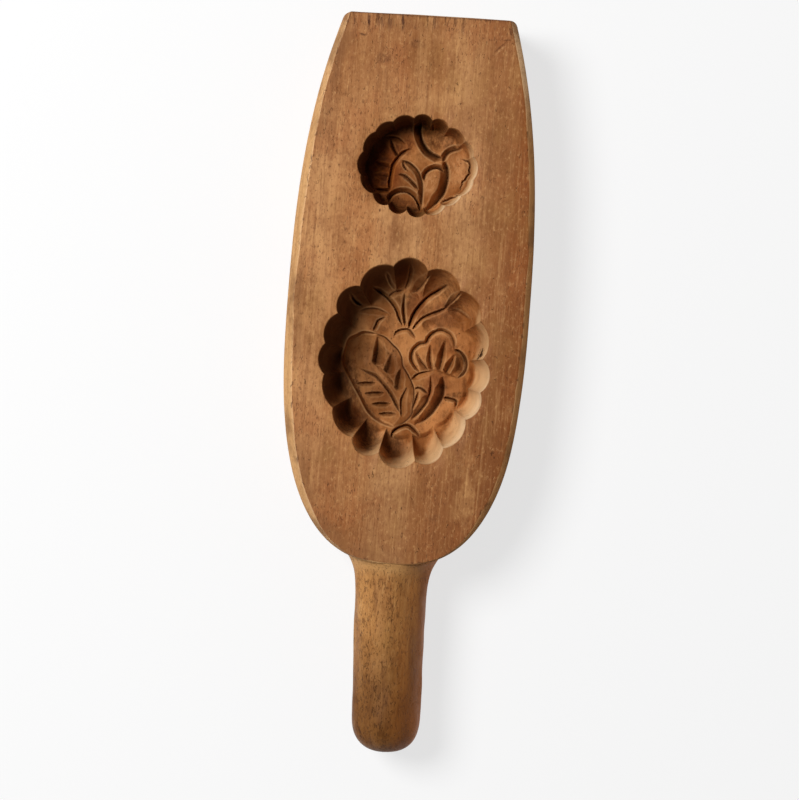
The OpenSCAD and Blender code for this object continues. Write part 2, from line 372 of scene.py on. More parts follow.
def knife_cut(x, y, points, depth, left, right, ends=(0.25, 0.25)):
    """Depth of a V cut, which falls in a straight line from the curve to nothing at the flank's width and
    thins out at the ends. With it come the dirt and painted shade along its bottom and the rubbed arris
    with a painted highlight along its top, each from 0 to 1."""
    far, on_left, along = nearest(x, y, smooth_curve(points))
    thin = np.clip(along / ends[0], 0, 1) * np.clip((1 - along) / ends[1], 0, 1)
    width = np.where(on_left, left, right) * (THIN_WIDTH + (1 - THIN_WIDTH) * thin)
    strength = np.sqrt(thin)
    cut = depth * strength * np.clip(1 - far / width, 0, 1)
    # Dirt and painted shade along the cut's bottom.
    dirt_and_shade = min(depth, 1) * strength * np.clip(1 - far / DIRT_SHADE_WIDE, 0, 1)
    # Rubbed arris with a painted highlight along the cut's top edges.
    rub_and_highlight = strength * np.clip(depth / width, 0, 1) * np.clip(1 - np.abs(far - width) / ARRIS_WIDE, 0, 1)
    return cut, dirt_and_shade, rub_and_highlight


def sunk(x, y, depth, *edges):
    """Depth of a lowered patch. Each edge is its points and the width over which the floor falls away
    from it."""
    curves = [smooth_curve(points) for points, slope in edges]
    share = np.ones(len(x))
    for curve, (points, slope) in zip(curves, edges):
        share = np.minimum(share, nearest(x, y, curve)[0] / slope)
    return depth * share * inside(x, y, np.concatenate(curves))


def scoop(x, y, middle, half_long, half_wide, turn, depth):
    """Depth of an oval gouge hollow: 1 - r^2 inside the oval, nothing outside."""
    u, v = turned(np.stack([x - middle[0], y - middle[1]], 1), -math.radians(turn)).T
    return depth * np.clip(1 - (u / half_long) ** 2 - (v / half_wide) ** 2, 0, 1)


print("carving tools ready")

# %% [markdown]
# The large hollow shows a fan of petals at its top, a long leaf at its left and an open flower
# on a stem at its right, which meet in a small mound at the bottom. These are
# stock motifs of cake molds. Points are in millimetres from the middle of the mouth.

# %% Carving of the large hollow
LEAF_LEFT = [(-11, 12), (-16, 13), (-19, 12), (-22.5, 10), (-24, 6), (-25, 2), (-24.5, -1), (-23, -4),
             (-21, -8), (-18, -13.5), (-14.5, -20), (-9.5, -24), (-4, -26)]
LEAF_RIGHT = [(-4, -26), (0, -24), (3, -21), (3.5, -18), (4, -13.5), (4, -10.5), (3, -7.5), (1.5, -4.5),
              (-0.5, -1), (-1, 2.5), (-2.5, 5.5), (-4.5, 7.5), (-7.5, 10.5), (-11, 12)]
FLOWER_LEFT = [(6.5, -3.5), (4.5, -1), (3, 2), (3.5, 5), (4.5, 6.5), (6.5, 8), (9, 8.5), (10, 10.5),
               (12, 12.5), (15, 13.5), (17, 13), (19.3, 11.5), (20.3, 9), (20.6, 5.8)]
FLOWER_RIGHT = [(20.6, 5.8), (23, 5), (25, 2.8), (25.8, -0.3), (24.8, -3.8), (22, -6.2)]
FLOWER_RIDGE = [(20.6, 5.8), (21.2, 2.5), (20.2, -1), (19.3, -3.5), (19.2, -5.2), (22, -6.2)]
FLOWER_FOOT = [(22, -6.2), (17, -4.5), (12, -3), (6.5, -3.5)]
# Each cut is its points, its depth, the widths of its left and right flank, and the share of it that
# thins out at each end.
FAN_CUTS = [
    ([(-22, 28.5), (-20, 25.5), (-17, 23.5)], 1.2, 0.9, 0.9, (0.3, 0.3)),
    ([(-13, 31), (-10.5, 29.5), (-6.5, 26.5), (-3.5, 22.5), (-2, 18.5), (-0.5, 15.5)],
     1.2, 1.6, 0.6, (0.15, 0.1)),
    ([(-7.5, 37), (-5.5, 32.5), (-3.5, 30)], 0.5, 1.0, 0.5, (0.2, 0.15)),
    ([(-6.5, 27), (-5, 28.5), (-3, 29.5), (0, 30)], 0.8, 0.45, 1.8, (0.15, 0.15)),
    ([(2.5, 29), (5.5, 28), (6.5, 26)], 0.5, 0.45, 1.3, (0.3, 0.4)),
    ([(2.5, 40), (2, 35.5), (0.5, 30)], 0.6, 1.6, 0.4, (0.2, 0.2)),
    ([(10.5, 36), (8.5, 33.5), (5.5, 30), (2.5, 29)], 1.5, 1.0, 3.0, (0.35, 0.3)),
    ([(18, 32), (14, 30), (10, 27.5), (6.5, 24), (4, 20.5), (2.5, 17), (2, 14.5)],
     1.6, 1.9, 0.7, (0.2, 0.08)),
    ([(23, 28.5), (20.5, 26), (17, 22.5)], 1.9, 0.7, 2.2, (0.3, 0.5)),
    ([(18, 23), (14.5, 21.5), (10.5, 20), (7.5, 18.5), (5, 16), (3.5, 14)], 1.1, 1.3, 0.6, (0.2, 0.1)),
    ([(18, 21.5), (21.5, 21.5), (25, 19.5), (27, 18)], 0.6, 0.8, 4.0, (0.3, 0.3)),
    ([(-18.5, 21.5), (-14, 22.5), (-10, 22), (-6, 20)], 0.8, 0.6, 2.6, (0.3, 0.3)),
    ([(-12.5, 13.5), (-11.5, 15.5), (-10.5, 17.5), (-7.5, 19)], 0.9, 0.6, 1.3, (0.1, 0.4)),
    ([(0.5, 29), (0, 23), (0.5, 15.5)], 1.2, 0.8, 1.2, (0.5, 0.1)),
    ([(-4, 11), (-3, 13), (0, 14), (2.5, 13.5), (5, 10)], 1.0, 0.5, 1.5, (0.2, 0.2)),
]
LEAF_CUTS = [
    (LEAF_LEFT, 0.5, 0.8, 0.5, (0.04, 0.04)),
    (LEAF_RIGHT, 1.1, 3.0, 0.4, (0.1, 0.1)),
    ([(-18, -2), (-15, -3.5), (-11, -5.5), (-7.5, -9.5), (-5, -13), (-3, -17), (-1.5, -20)],
     1.0, 1.1, 0.7, (0.25, 0.1)),
    ([(-12, 0), (-8, -3.5), (-5.5, -6.5), (-2.5, -11)], 0.5, 0.6, 1.2, (0.2, 0.3)),
    ([(-19, -8), (-15, -7.9), (-11.5, -8)], 1.0, 0.6, 1.6, (0.3, 0.25)),
    ([(-16, -12.2), (-12, -12), (-8, -12)], 1.0, 0.6, 1.7, (0.3, 0.25)),
    ([(-13, -16.5), (-9, -16.3), (-5.3, -16.5)], 1.0, 0.6, 1.6, (0.3, 0.25)),
    ([(-10.3, -20.6), (-6.5, -20.4), (-3, -20.6)], 1.0, 0.6, 1.5, (0.3, 0.25)),
    ([(-10.5, 11), (-10.7, 5), (-11.5, -0.5)], 1.7, 3.6, 1.9, (0.5, 0.1)),
    ([(-4.8, 4), (-5.6, -0.2), (-7, -4)], 1.5, 3.0, 1.9, (0.5, 0.1)),
    ([(-1.0, -1), (-1.8, -6), (-2.5, -11)], 1.5, 2.4, 1.9, (0.5, 0.1)),
    ([(1.5, -9.5), (0, -12.5), (-1, -15.5), (-1, -22)], 1.1, 2.2, 0.7, (0.4, 0.15)),
]
FLOWER_CUTS = [
    (FLOWER_LEFT, 1.4, 1.1, 1.2, (0.06, 0.1)),
    (FLOWER_RIGHT, 1.0, 0.4, 0.8, (0.1, 0.15)),
    ([(5, 5), (7.5, 0.5), (10, -2.8)], 1.3, 0.7, 2.0, (0.7, 0.12)),
    ([(11, 7.5), (10.8, 2), (11.7, -3)], 1.4, 1.0, 1.7, (0.5, 0.1)),
    ([(17, 9), (15.8, 2.5), (14.6, -3)], 1.7, 1.4, 2.4, (0.5, 0.1)),
    ([(21, 3.6), (19.3, -0.3), (17.2, -4)], 1.5, 1.5, 2.2, (0.5, 0.1)),
    ([(3, -6.5), (5.5, -4.5), (8.5, -3.5), (12, -3)], 1.0, 0.6, 2.4, (0.2, 0.3)),
    ([(4.5, -10.5), (6, -10), (8, -10.8), (10.5, -13)], 1.0, 0.7, 0.9, (0.2, 0.3)),
    ([(11, -5), (11, -10), (10, -14), (7.5, -18), (3, -23)], 1.2, 1.3, 1.0, (0.3, 0.25)),
    ([(16, -5.5), (16.5, -9), (16, -13.5), (14, -17), (11.5, -20.5), (8, -23.5), (4.5, -25)],
     2.3, 0.5, 4.0, (0.2, 0.3)),
    ([(6, -11.5), (5, -14.5), (3, -20)], 1.0, 1.3, 0.8, (0.3, 0.3)),
    ([(10.4, -12.6), (9.4, -16), (6.8, -19.5), (3.2, -23)], 1.6, 0.5, 3.0, (0.15, 0.25)),
    ([(16, -14.5), (17, -14), (19.5, -14.5), (21.5, -15.5), (21.2, -18)], 1.5, 0.6, 1.4, (0.15, 0.3)),
    ([(-5, -30.5), (-4.5, -28), (-1.5, -26), (2, -25.5), (5, -28), (6.5, -30)], 1.6, 0.9, 1.3, (0.2, 0.2)),
]
LARGE_CUTS = FAN_CUTS + LEAF_CUTS + FLOWER_CUTS
LARGE_SCOOPS = [((10.5, 15.5), 3.2, 2.3, -20, 0.9), ((-17, 4), 5.5, 4.0, 60, 0.4)]


def large_carving(x, y):
    """Depth of the sunk leaf and flower and the scoops, depth of the deepest knife cut, dirt and rubbed
    arrises."""
    patches = sunk(x, y, 1.7, (LEAF_LEFT, 0.9), (LEAF_RIGHT, 7.0))
    patches += sunk(x, y, 1.2, (LEAF_LEFT, 8.0), (LEAF_RIGHT, 11.0))
    patches += sunk(x, y, 1.0, (FLOWER_LEFT, 1.1), (FLOWER_RIGHT, 2.5), (FLOWER_FOOT, 0.8))
    patches += sunk(x, y, 1.9, (FLOWER_RIDGE, 4.0), (FLOWER_RIGHT[::-1], 0.4))
    patches += sum(scoop(x, y, *s) for s in LARGE_SCOOPS)
    return patches, *np.max([knife_cut(x, y, *c) for c in LARGE_CUTS], axis=0)


print(len(LARGE_CUTS), "knife cuts in the large hollow")

# %% [markdown]
# The small hollow repeats the theme: a leaf, a pod on a curved stem, and petals round them. Two
# ragged cracks have opened along the foot of its right wall.

# %% Carving of the small hollow
STEM_AND_POD_CUTS = [
    ([(2.2, 18.5), (2.0, 15.6), (2.4, 12.8), (3.5, 10.0), (5.2, 7.5), (7.8, 5.6), (11.2, 3.9)],
     2.7, 0.5, 3.0, (0.08, 0.12)),
    ([(12, 2.7), (13.1, -0.2), (13.3, -3.3), (12.7, -6.7), (11.4, -10.4), (8.8, -13.8), (6.1, -16.2),
      (4, -17.5)], 2.3, 0.5, 3.6, (0.1, 0.25)),
    ([(3.5, -5.1), (3.8, -2.9), (5.1, -1.1), (7.5, 0), (9.9, -0.2), (11.9, -1.9)],
     1.9, 1.7, 0.7, (0.12, 0.15)),
    ([(11.4, 2.7), (12, 4.6), (13.6, 6.5), (16, 7.5), (19.2, 8)], 1.9, 2.0, 0.9, (0.1, 0.25)),
]
CRACKS = [
    ([(18.8, 3.8), (20.4, 3.0), (21.7, 2.1), (22.1, 0.6), (21.8, -0.9), (22.0, -2.2), (20.9, -3.4),
      (20.2, -4.8), (19.1, -5.5), (18.9, -6.9), (18.3, -7.9), (18.5, -9.2)], 0.9, 0.45, 0.6, (0.15, 0.25)),
    ([(18.2, -11.2), (16.9, -11.3), (15.9, -12.0), (14.4, -12.2), (13.0, -13.0), (11.6, -13.4),
      (10.2, -14.3)], 0.8, 0.5, 0.6, (0.15, 0.2)),
]
LEAF_AND_MOUND_CUTS = [
    ([(-1.9, 8), (-5.1, 6.5), (-7.6, 4), (-9.4, 1.2), (-10.2, -2.2), (-10.7, -5.6), (-10.7, -8.9)],
     1.3, 1.2, 0.8, (0.15, 0.08)),
    ([(-5.4, 3.1), (-2.2, 1.8), (0.6, -0.9), (2.2, -4.3), (2.7, -8.4), (2.3, -13.8), (1.9, -16.8)],
     1.4, 0.5, 2.0, (0.1, 0.12)),
    ([(-6.8, -2.4), (-4.2, -3.2), (-1.9, -5.1), (0, -7.1), (1.1, -8.7)], 1.3, 0.6, 1.3, (0.25, 0.15)),
    ([(-5.3, 2.9), (-4.6, 0.6), (-3, -1.4)], 0.9, 1.0, 0.7, (0.2, 0.3)),
    ([(-11, -13.8), (-9.8, -11.4), (-7.1, -9.8), (-3.7, -9.7), (-0.8, -11.6), (0.9, -14.5), (1.6, -17.3)],
     1.7, 1.9, 0.6, (0.08, 0.1)),
]
PETAL_CUTS = [
    ([(-10.4, 12.4), (-9.4, 9.2), (-8.2, 6.6), (-7, 4.8)], 1.2, 0.7, 1.2, (0.3, 0.15)),
    ([(-16.5, 2.9), (-13.5, 1.2), (-10.2, 0.2)], 0.7, 1.6, 2.2, (0.5, 0.15)),
    ([(-17, -2.6), (-13.5, -3), (-10.6, -3.6)], 0.7, 1.6, 2.2, (0.5, 0.15)),
    ([(-16.3, -8.5), (-13.5, -8.9), (-10.8, -9)], 1.5, 1.0, 1.4, (0.3, 0.1)),
    ([(-12.2, 12.7), (-9.5, 12.8), (-6.8, 12), (-4.1, 9.7)], 0.8, 0.6, 2.2, (0.3, 0.3)),
    ([(6.8, 17.5), (7.4, 15)], 0.8, 0.5, 0.9, (0.2, 0.5)),
]
SMALL_CUTS = STEM_AND_POD_CUTS + CRACKS + LEAF_AND_MOUND_CUTS + PETAL_CUTS
SMALL_SCOOPS = [
    ((-13.5, 8), 4.5, 2.4, -40, 0.7), ((-14.5, 0), 4.0, 2.4, -5, 0.7), ((-14, -6), 4.0, 2.0, 10, 0.6),
    ((10, 11.5), 9.0, 7.0, 20, 1.4), ((17.5, 0), 6.5, 4.0, 80, 0.25),
]


def small_carving(x, y):
    """Depth of the scoops, depth of the deepest knife cut, dirt and rubbed arrises."""
    patches = sum(scoop(x, y, *s) for s in SMALL_SCOOPS)
    return patches, *np.max([knife_cut(x, y, *c) for c in SMALL_CUTS], axis=0)


print(len(SMALL_CUTS), "knife cuts in the small hollow")

# %% [markdown]
# Next comes the form of each hollow, under plain names, so that the same functions carve both.
# The wall rises as a power of the way from the floor to the rim. A low power, used on the ridges
# between the lobes, is an even slope, and a high one, used in the lobes, is flat at its
# foot and steep at the mouth, as a gouge leaves it.

# %% Form and wear of the two hollows
# Ovals are given by half widths: one through the middle of the mouth's lobes and one round the floor.
# scoop is how far a lobe goes below the floor, and lobe_left the share of the lobes left at the wall's foot.
# The wear values set the paleness of the walls facing the lamp, partly wear and partly painted light, and the
# painted shade on the walls and floor opposite them.
LARGE = SimpleNamespace(
    middle=LARGE_MID, mouth_half=(33.5, 40.3), floor_off=np.array([2.1, -0.8]), floor_half=(27.0, 29.5),
    depth=19.4, ridge_power=1.35, lobe_power=4.0, scoop=1.8, lobe_left=0.55,
    rub_and_highlight=1.0, rub_and_highlight_facing=1.5, rub_and_highlight_climb=0.7, rub_and_highlight_low=0.5, lobe_shade=0.9, painted_shade=0.35, painted_shade_start=0.55,
    inner_rows=40, outer_rows=44, wall_rows=24, face_rows=6,
)
SMALL = SimpleNamespace(
    middle=SMALL_MID, mouth_half=(23.2, 19.4), floor_off=np.array([0.3, 0.2]), floor_half=(20.2, 16.4),
    depth=16.2, ridge_power=1.3, lobe_power=2.4, scoop=0.6, lobe_left=0.6,
    rub_and_highlight=2.1, rub_and_highlight_facing=2.8, rub_and_highlight_climb=1.5, rub_and_highlight_low=0.05, lobe_shade=0.5, painted_shade=0.80, painted_shade_start=0.42,
    inner_rows=24, outer_rows=28, wall_rows=12, face_rows=6,
)
print("hollows are", LARGE.depth, "and", SMALL.depth, "mm deep before carving")

# %% [markdown]
# Two functions work on whole grids of points. One lays the carving into the hollow, deeper on the
# steep walls and fading out at the mouth. The other says how each place is worn and painted for the
# lamp: above 0 where it is rubbed pale and painted lit, below 0 where it is painted dark as shade.

# %% Carved depth and wear
RIM_FADE, STEEP_FROM = 0.12, 0.4
STEEP_GAIN = 1.6
RELIEF_GAIN = 1.85
FLOOR_WAVE = 0.25
MARK_DEPTH = 1.2
# Dark colour in cuts and sunk patches, deeper where they are deeper: dirt and painted shade.
DIRT_SHADE_DEPTH, PATCH_DIRT_SHADE = 3.2, 0.14
LIT_SHARE, LOW_RIM, PAINTED_SHADE_FULL = 0.3, 0.5, 1.1
SCOOP_SIDE = np.array([0.25, -0.97])
MARKS = ("hollow", "dirt_and_shade", "worn", "edge", "side", "rub_and_highlight")
DIRT_AND_SHADE, EDGE, SIDE = (MARKS.index(mark) for mark in ("dirt_and_shade", "edge", "side"))


def carved(hollow, carving, plan, up, power, worn, dip):
    """Points and their marks. The depth is that of the hollow, less up^power of it, plus the carving, a
    slight wave and the dip. up runs from 0 on the floor to 1 at the rim."""
    x, y = plan[..., 0].ravel(), plan[..., 1].ravel()
    drawn = turned(np.stack([x, y], 1) - hollow.middle, -LEAN)
    patches, cuts, dirt_and_shade, rub_and_highlight = (c.reshape(up.shape) for c in carving(*drawn.T))
    fade = np.clip((1 - up) / RIM_FADE, 0, 1)
    gain = RELIEF_GAIN * fade * (1 + (STEEP_GAIN - 1) * np.clip(up / STEEP_FROM, 0, 1))
    top = face_height(x, y).reshape(up.shape)
    wave = FLOOR_WAVE * swells(x, y, seed=21, length=16.0).reshape(up.shape)
    z = top - hollow.depth * (1 - up ** power) - (patches + cuts) * gain - wave * fade - dip
    # Dirt and painted shade: darker in cuts and sunk patches the deeper they go.
    dirt_and_shade = np.maximum(dirt_and_shade, cuts / DIRT_SHADE_DEPTH + patches * PATCH_DIRT_SHADE) * fade
    within = np.clip((top - z) / MARK_DEPTH, 0, 1)
    marks = np.stack([within, dirt_and_shade, worn, 0 * up, 0 * up, rub_and_highlight * fade * (1 - dirt_and_shade)], -1)
    return np.concatenate([plan, z[..., None]], 2), marks


def wall_wear(hollow, direction, far_side, up, begun, near_wall):
    """Wear and painted light: the wall facing the lamp is rubbed and painted paler the higher it is, and so
    are the far side of each lobe and the lower rim, while the near side of each lobe gets painted shade. The
    opposite wall is painted dark as shade, and so is the floor near it."""
    facing = direction @ WORN_AND_LIT_SIDE
    # Paler walls facing the lamp: partly wear, partly painted light.
    worn = hollow.rub_and_highlight * up ** hollow.rub_and_highlight_climb * np.clip(facing, 0, 1) ** hollow.rub_and_highlight_facing
    # Painted shade on the near side of each lobe, and a weaker painted highlight on its far side.
    worn += hollow.lobe_shade * np.where(far_side < 0, 1, LIT_SHARE) * far_side * begun * (1 - up ** 4)
    near_rim = hollow.rub_and_highlight_low * np.clip((up - LOW_RIM) / (1 - LOW_RIM), 0, 1)
    worn += near_rim * np.clip(direction @ SCOOP_SIDE, 0, 1)
    # Painted shade on the walls that face away from the lamp and on the floor near them.
    worn -= np.clip(-facing, 0, 1) ** 1.1 * (hollow.painted_shade * near_wall + (PAINTED_SHADE_FULL - hollow.painted_shade) * up ** 0.7)
    return worn


print("each point carries", len(MARKS), "marks:", *MARKS)

# %% [markdown]
# Now the surface itself. Each half of the face is one grid: rows run from the floor out to its
# edge, up the fluted wall, over the worn lip and across the face to the border. The columns go
# round. The middle of the floor is a second grid with half the columns, so its faces don't
# get too thin.

# %% One half of the face with its hollow
LIP, LIP_STEPS = 0.25, np.array([0.35, 1.0])
RIM_DROP, LIP_DROP = 0.22, 0.06
MARGIN, EDGE_WIDE = 0.6, 5.0
SCOOP_START, SCOOP_EVEN, SCOOP_LEAST = 0.94, 0.45, 0.25
# Darkening along the foot of the scooped lobes: dirt and painted shade in the crease.
FOOT_DIRT_SHADE = 0.35


def oval_radius(spokes, half):
    """Distance from the middle to an oval with the given half widths, along each spoke."""
    unit = spokes / np.hypot(*spokes.T)[:, None]
    return 1 / np.sqrt((unit[:, 0] / half[0]) ** 2 + (unit[:, 1] / half[1]) ** 2)


def face_part(hollow, rim, direction, border, on_edge):
    """Rows over the lip and across the flat face, with straight lines from the lip to the border."""
    lip = rim + direction * LIP * LIP_STEPS[:, None, None]
    gap = np.hypot(*(border - lip[-1]).T)
    steps_out = np.linspace(0, 1, hollow.face_rows)[1:, None]
    across = np.concatenate([steps_out * (1 - MARGIN / gap), np.ones((1, len(rim)))])
    flat = np.concatenate([lip, lip[-1] + (border - lip[-1]) * across[..., None]])
    z = face_height(flat[..., 0], flat[..., 1])
    z[0] -= LIP_DROP
    marks = np.zeros((*z.shape, len(MARKS)))
    marks[len(lip):, :, EDGE] = on_edge * np.clip(1 - (1 - across) * gap / EDGE_WIDE, 0, 1)
    return np.concatenate([flat, z[..., None]], 2), marks


def hollow_half(hollow, carving, rim, border, on_edge):
    """Two grids of points and marks: the middle of the floor, with every second column, and all from half
    way across the floor to the border."""
    rim, hump, far_side = rim[:, :2], rim[:, 2], rim[:, 3]
    floor_mid = hollow.middle + hollow.floor_off
    spokes = rim - floor_mid
    reach = np.hypot(*spokes.T)
    direction = spokes / reach[:, None]
    lobes = reach - oval_radius(spokes, hollow.mouth_half)
    foot_reach = oval_radius(spokes, hollow.floor_half) + hollow.lobe_left * lobes
    foot = floor_mid + direction * foot_reach[:, None]

    share = np.linspace(0.5, 1, hollow.outer_rows + 1)[:-1, None, None]
    rise = np.linspace(0, 1, hollow.wall_rows + 1)[:, None, None]
    up = np.concatenate([0 * share, rise])[:, :, 0] * np.ones(len(rim))
    plan = np.concatenate([floor_mid + (foot - floor_mid) * share, foot + (rim - foot) * rise])

    def grown(start, power=1.0):
        """0 on the floor up to the start, then rising to 1 at the wall's foot, and 1 on the wall."""
        on_floor = np.clip((share - start) / (1 - start), 0, 1) ** power
        return np.concatenate([on_floor, 0 * rise + 1])[:, :, 0]

    scooped = hump * np.clip(SCOOP_EVEN + (1 - SCOOP_EVEN) * direction @ SCOOP_SIDE, SCOOP_LEAST, 1)
    power = hollow.ridge_power + (hollow.lobe_power - hollow.ridge_power) * scooped * np.ones_like(up)
    begun = grown(SCOOP_START)
    worn = wall_wear(hollow, direction, far_side, up, begun, grown(hollow.painted_shade_start, 1.5))
    dip = hollow.scoop * scooped * begun * (1 - up ** 2)
    points, marks = carved(hollow, carving, plan, up, power, worn, dip)
    # Dirt and painted shade in the crease at the foot of the scooped lobes.
    at_foot = FOOT_DIRT_SHADE * scooped * begun * np.clip(1 - up / RIM_FADE, 0, 1)
    marks[..., DIRT_AND_SHADE] = np.maximum(marks[..., DIRT_AND_SHADE], at_foot)
    points[-1, :, 2] -= RIM_DROP
    face_points, face_marks = face_part(hollow, rim, direction, border, on_edge)

    share = np.linspace(0, 0.5, hollow.inner_rows + 1)[:-1, None, None]
    plan = floor_mid + (foot[::2] - floor_mid) * share
    level = np.zeros(plan.shape[:2])
    inner = carved(hollow, carving, plan, level, level + 1, level, level)
    return inner, (np.concatenate([points, face_points]), np.concatenate([marks, face_marks]))


large_on_edge = (np.arange(len(large_border)) >= SPLIT_STEPS) * 1.0
small_on_edge = (np.arange(len(small_border)) <= LEFT_SPLIT) * 1.0
large_inner, large = hollow_half(LARGE, large_carving, large_rim, large_border, large_on_edge)
small_inner, small = hollow_half(SMALL, small_carving, small_rim, small_border, small_on_edge)
for name, half in (("large", large), ("small", small)):
    print(name, "half:", half[0].shape[:2], "points, lowest at", round(float(half[0][..., 2].min()), 1), "mm")

# %% [markdown]
# The rest of the board hangs from the border loop: the slanting facet, the side wall, the rounded
# back edge and the flat back, whose rows shrink to a line down the middle. One more grid does
# it, and its first row is the same loop of points as the halves' borders.

# %% Edge, sides and back
BACK_R = 1.5
SPINE_LOW, SPINE_HIGH = -25.0, 118.0
FACET_BOW, WALL_BOW = 0.10, 0.25
FACET_ROWS, WALL_ROWS, TURN_ROWS = 5, 5, 3
SIDE_ROWS = FACET_ROWS + WALL_ROWS + TURN_ROWS
BACK_SHARES = np.array([0.15, 0.5, 1.0])


def edge_and_back():
    """Rows from the arris down the facet and the wall, round the back edge by a quarter circle, and in to
    the spine."""
    rows, heights = [], []
    drop = np.where(outline[:, 0] < 0, DROP_LEFT / BEVEL_LEFT, DROP_RIGHT / BEVEL_RIGHT) * facet
    drop = np.clip(drop, DROP_LEAST, None)
    arris_z = face_height(*arris.T)
    for s in np.linspace(0, 1, FACET_ROWS):
        rows.append(arris + (outline - arris) * (s + FACET_BOW * np.sin(np.pi * s)))
        heights.append(arris_z - drop * s)
    low = heights[-1]
    bow = WALL_BOW * (0.5 + 0.5 * wander(along_edge, seed=17, lowest=0.07))
    for s in np.linspace(0, 1, WALL_ROWS + 1)[1:]:
        rows.append(outline - outward * (bow * math.sin(math.pi * s))[:, None])
        heights.append(low + (BACK_R - low) * s)
    for a in np.linspace(0, np.pi / 2, TURN_ROWS + 1)[1:]:
        rows.append(outline - outward * BACK_R * (1 - math.cos(a)))
        heights.append(np.full(len(outline), BACK_R * (1 - math.sin(a))))
    rim = rows[-1]
    spine = np.stack([0 * square_y, np.clip(square_y, SPINE_LOW, SPINE_HIGH)], 1)
    for s in BACK_SHARES:
        rows.append(rim + (spine - rim) * s)
        heights.append(np.zeros(len(outline)))
    return np.concatenate([np.array(rows), np.array(heights)[..., None]], 2)


band = edge_and_back()
print("edge and back:", band.shape[:2], "points")

# %% [markdown]
# Five grids become one closed mesh. Points that fall together, along the borders and at
# the middles of the floors, are merged. Six numbers ride along on every point for the material:
# how far inside a hollow it is, how much dirt and painted shade sits there, how worn and lit the
# wall is painted, how near the paddle's edge it is, whether it is on the sides, and whether it is
# the rubbed arris of a cut, which also carries a painted highlight.

# %% Put grids into a mesh
WELD, SLIVER = 1e-7, 1e-8
BOARD_SHARP = 38


def grid_faces(rows, columns, start):
    """Four corners of each face of a grid that closes round its columns."""
    k = np.arange(rows * columns).reshape(rows, columns) + start
    nxt = np.roll(k, -1, 1)
    return np.stack([k[:-1], k[1:], nxt[1:], nxt[:-1]], -1).reshape(-1, 4)


def bridge_faces(inner, outer, count):
    """Three triangles for each step of an inner ring of count points in an outer ring of twice as many."""
    j = np.arange(count)
    i0, i1 = inner + j, inner + (j + 1) % count
    o0, o1, o2 = outer + 2 * j, outer + 2 * j + 1, outer + (2 * j + 2) % (2 * count)
    return np.concatenate([np.stack(t, 1) for t in ((i0, o0, o1), (i0, o1, i1), (i1, o1, o2))])


def placed(name, data):
    """A new object with the data, linked into the scene."""
    made = bpy.data.objects.new(name, data)
    bpy.context.scene.collection.objects.link(made)
    return made


def closed_piece(name, grids, bridges, marks, sharp_deg, flip=False):
    """A mesh object from grids of points in mm, doubles merged, with one float attribute per named mark. A
    bridge joins the last row of one grid to the first row of another that has twice its columns."""
    points = np.concatenate([g.reshape(-1, 3) for g in grids]) * MM
    starts = np.cumsum([0] + [g.shape[0] * g.shape[1] for g in grids])
    faces = np.concatenate([grid_faces(*g.shape[:2], s) for g, s in zip(grids, starts)])
    faces = faces[:, ::-1 if flip else 1].tolist()
    for a, b in bridges:
        columns = grids[a].shape[1]
        faces += bridge_faces(starts[a + 1] - columns, starts[b], columns).tolist()
    mesh = bpy.data.meshes.new(name)
    mesh.from_pydata(points, [], faces)
    for mark, values in marks.items():
        mesh.attributes.new(mark, "FLOAT", "POINT").data.foreach_set("value", values.astype(np.float32))
    welded = bmesh.new()
    welded.from_mesh(mesh)
    bmesh.ops.remove_doubles(welded, verts=welded.verts, dist=WELD)
    bmesh.ops.dissolve_degenerate(welded, edges=welded.edges, dist=SLIVER)
    open_edges = sum(not e.is_manifold for e in welded.edges)
    volume = round(welded.calc_volume(signed=True) * 1e6, 1)
    welded.to_mesh(mesh)
    welded.free()
    mesh.shade_smooth()
    mesh.set_sharp_from_angle(angle=math.radians(sharp_deg))
    mesh.calc_loop_triangles()
    print(name, len(mesh.loop_triangles), "triangles,", open_edges, "open edges,", volume, "cm3")
    return placed(name, mesh)


band_marks = np.zeros((*band.shape[:2], len(MARKS)))
band_marks[:FACET_ROWS, :, EDGE] = 1.0
band_marks[1:SIDE_ROWS, :, SIDE] = 1.0
parts = (large_inner, large, small_inner, small, (band, band_marks))
marks = np.concatenate([m.reshape(-1, len(MARKS)) for g, m in parts])
board = closed_piece(
    "carved_board", [g for g, m in parts], [(0, 1), (2, 3)], dict(zip(MARKS, marks.T)), BOARD_SHARP)

# %% [markdown]
# The grip is shaved round with a knife. It leaves the paddle's foot in a hollow curve, stays nearly
# even along its length, bends a little to one side, and ends in a blunt rounded butt that
# was cut at a slight slant.

# %% The grip
NECK_R, BUTT_R = 14.6, 13.8
FLARE_SIDE, FLARE_FACE, FLARE_LENGTH = 4.6, 2.4, 3.2
BUTT_LENGTH, BUTT_POWER, BUTT_TILT = 15.0, 2.35, 0.05
BEND_START, BEND_END, BEND_POWER = 1.2, 4.2, 1.2
COPE_LENGTH = 12
AXIS_Z = FACE_Z / 2
AROUND, GRIP_ROWS, BUTT_ROWS = 144, 84, 26
SINK = 1.6
GRIP_SHARP = 40
LUMP, LUMP_LENGTH = 0.25, 26.0
# Each shaving wave is its height, its number of waves round the grip, its twist and its start.
SHAVING = ((0.22, 3, 5, 0.6), (0.16, 5, -7, 0.0), (0.12, 9, 11, 0.0))


def foot_line(x):
    """Height of the paddle's foot over x: the lower outline solved for y."""
    drop = (1 - np.clip(np.abs(x) / HALF, 0, 1) ** FOOT_POWER) ** (1 / FOOT_POWER)
    return WIDEST_Y - (WIDEST_Y - FOOT_Y) * drop


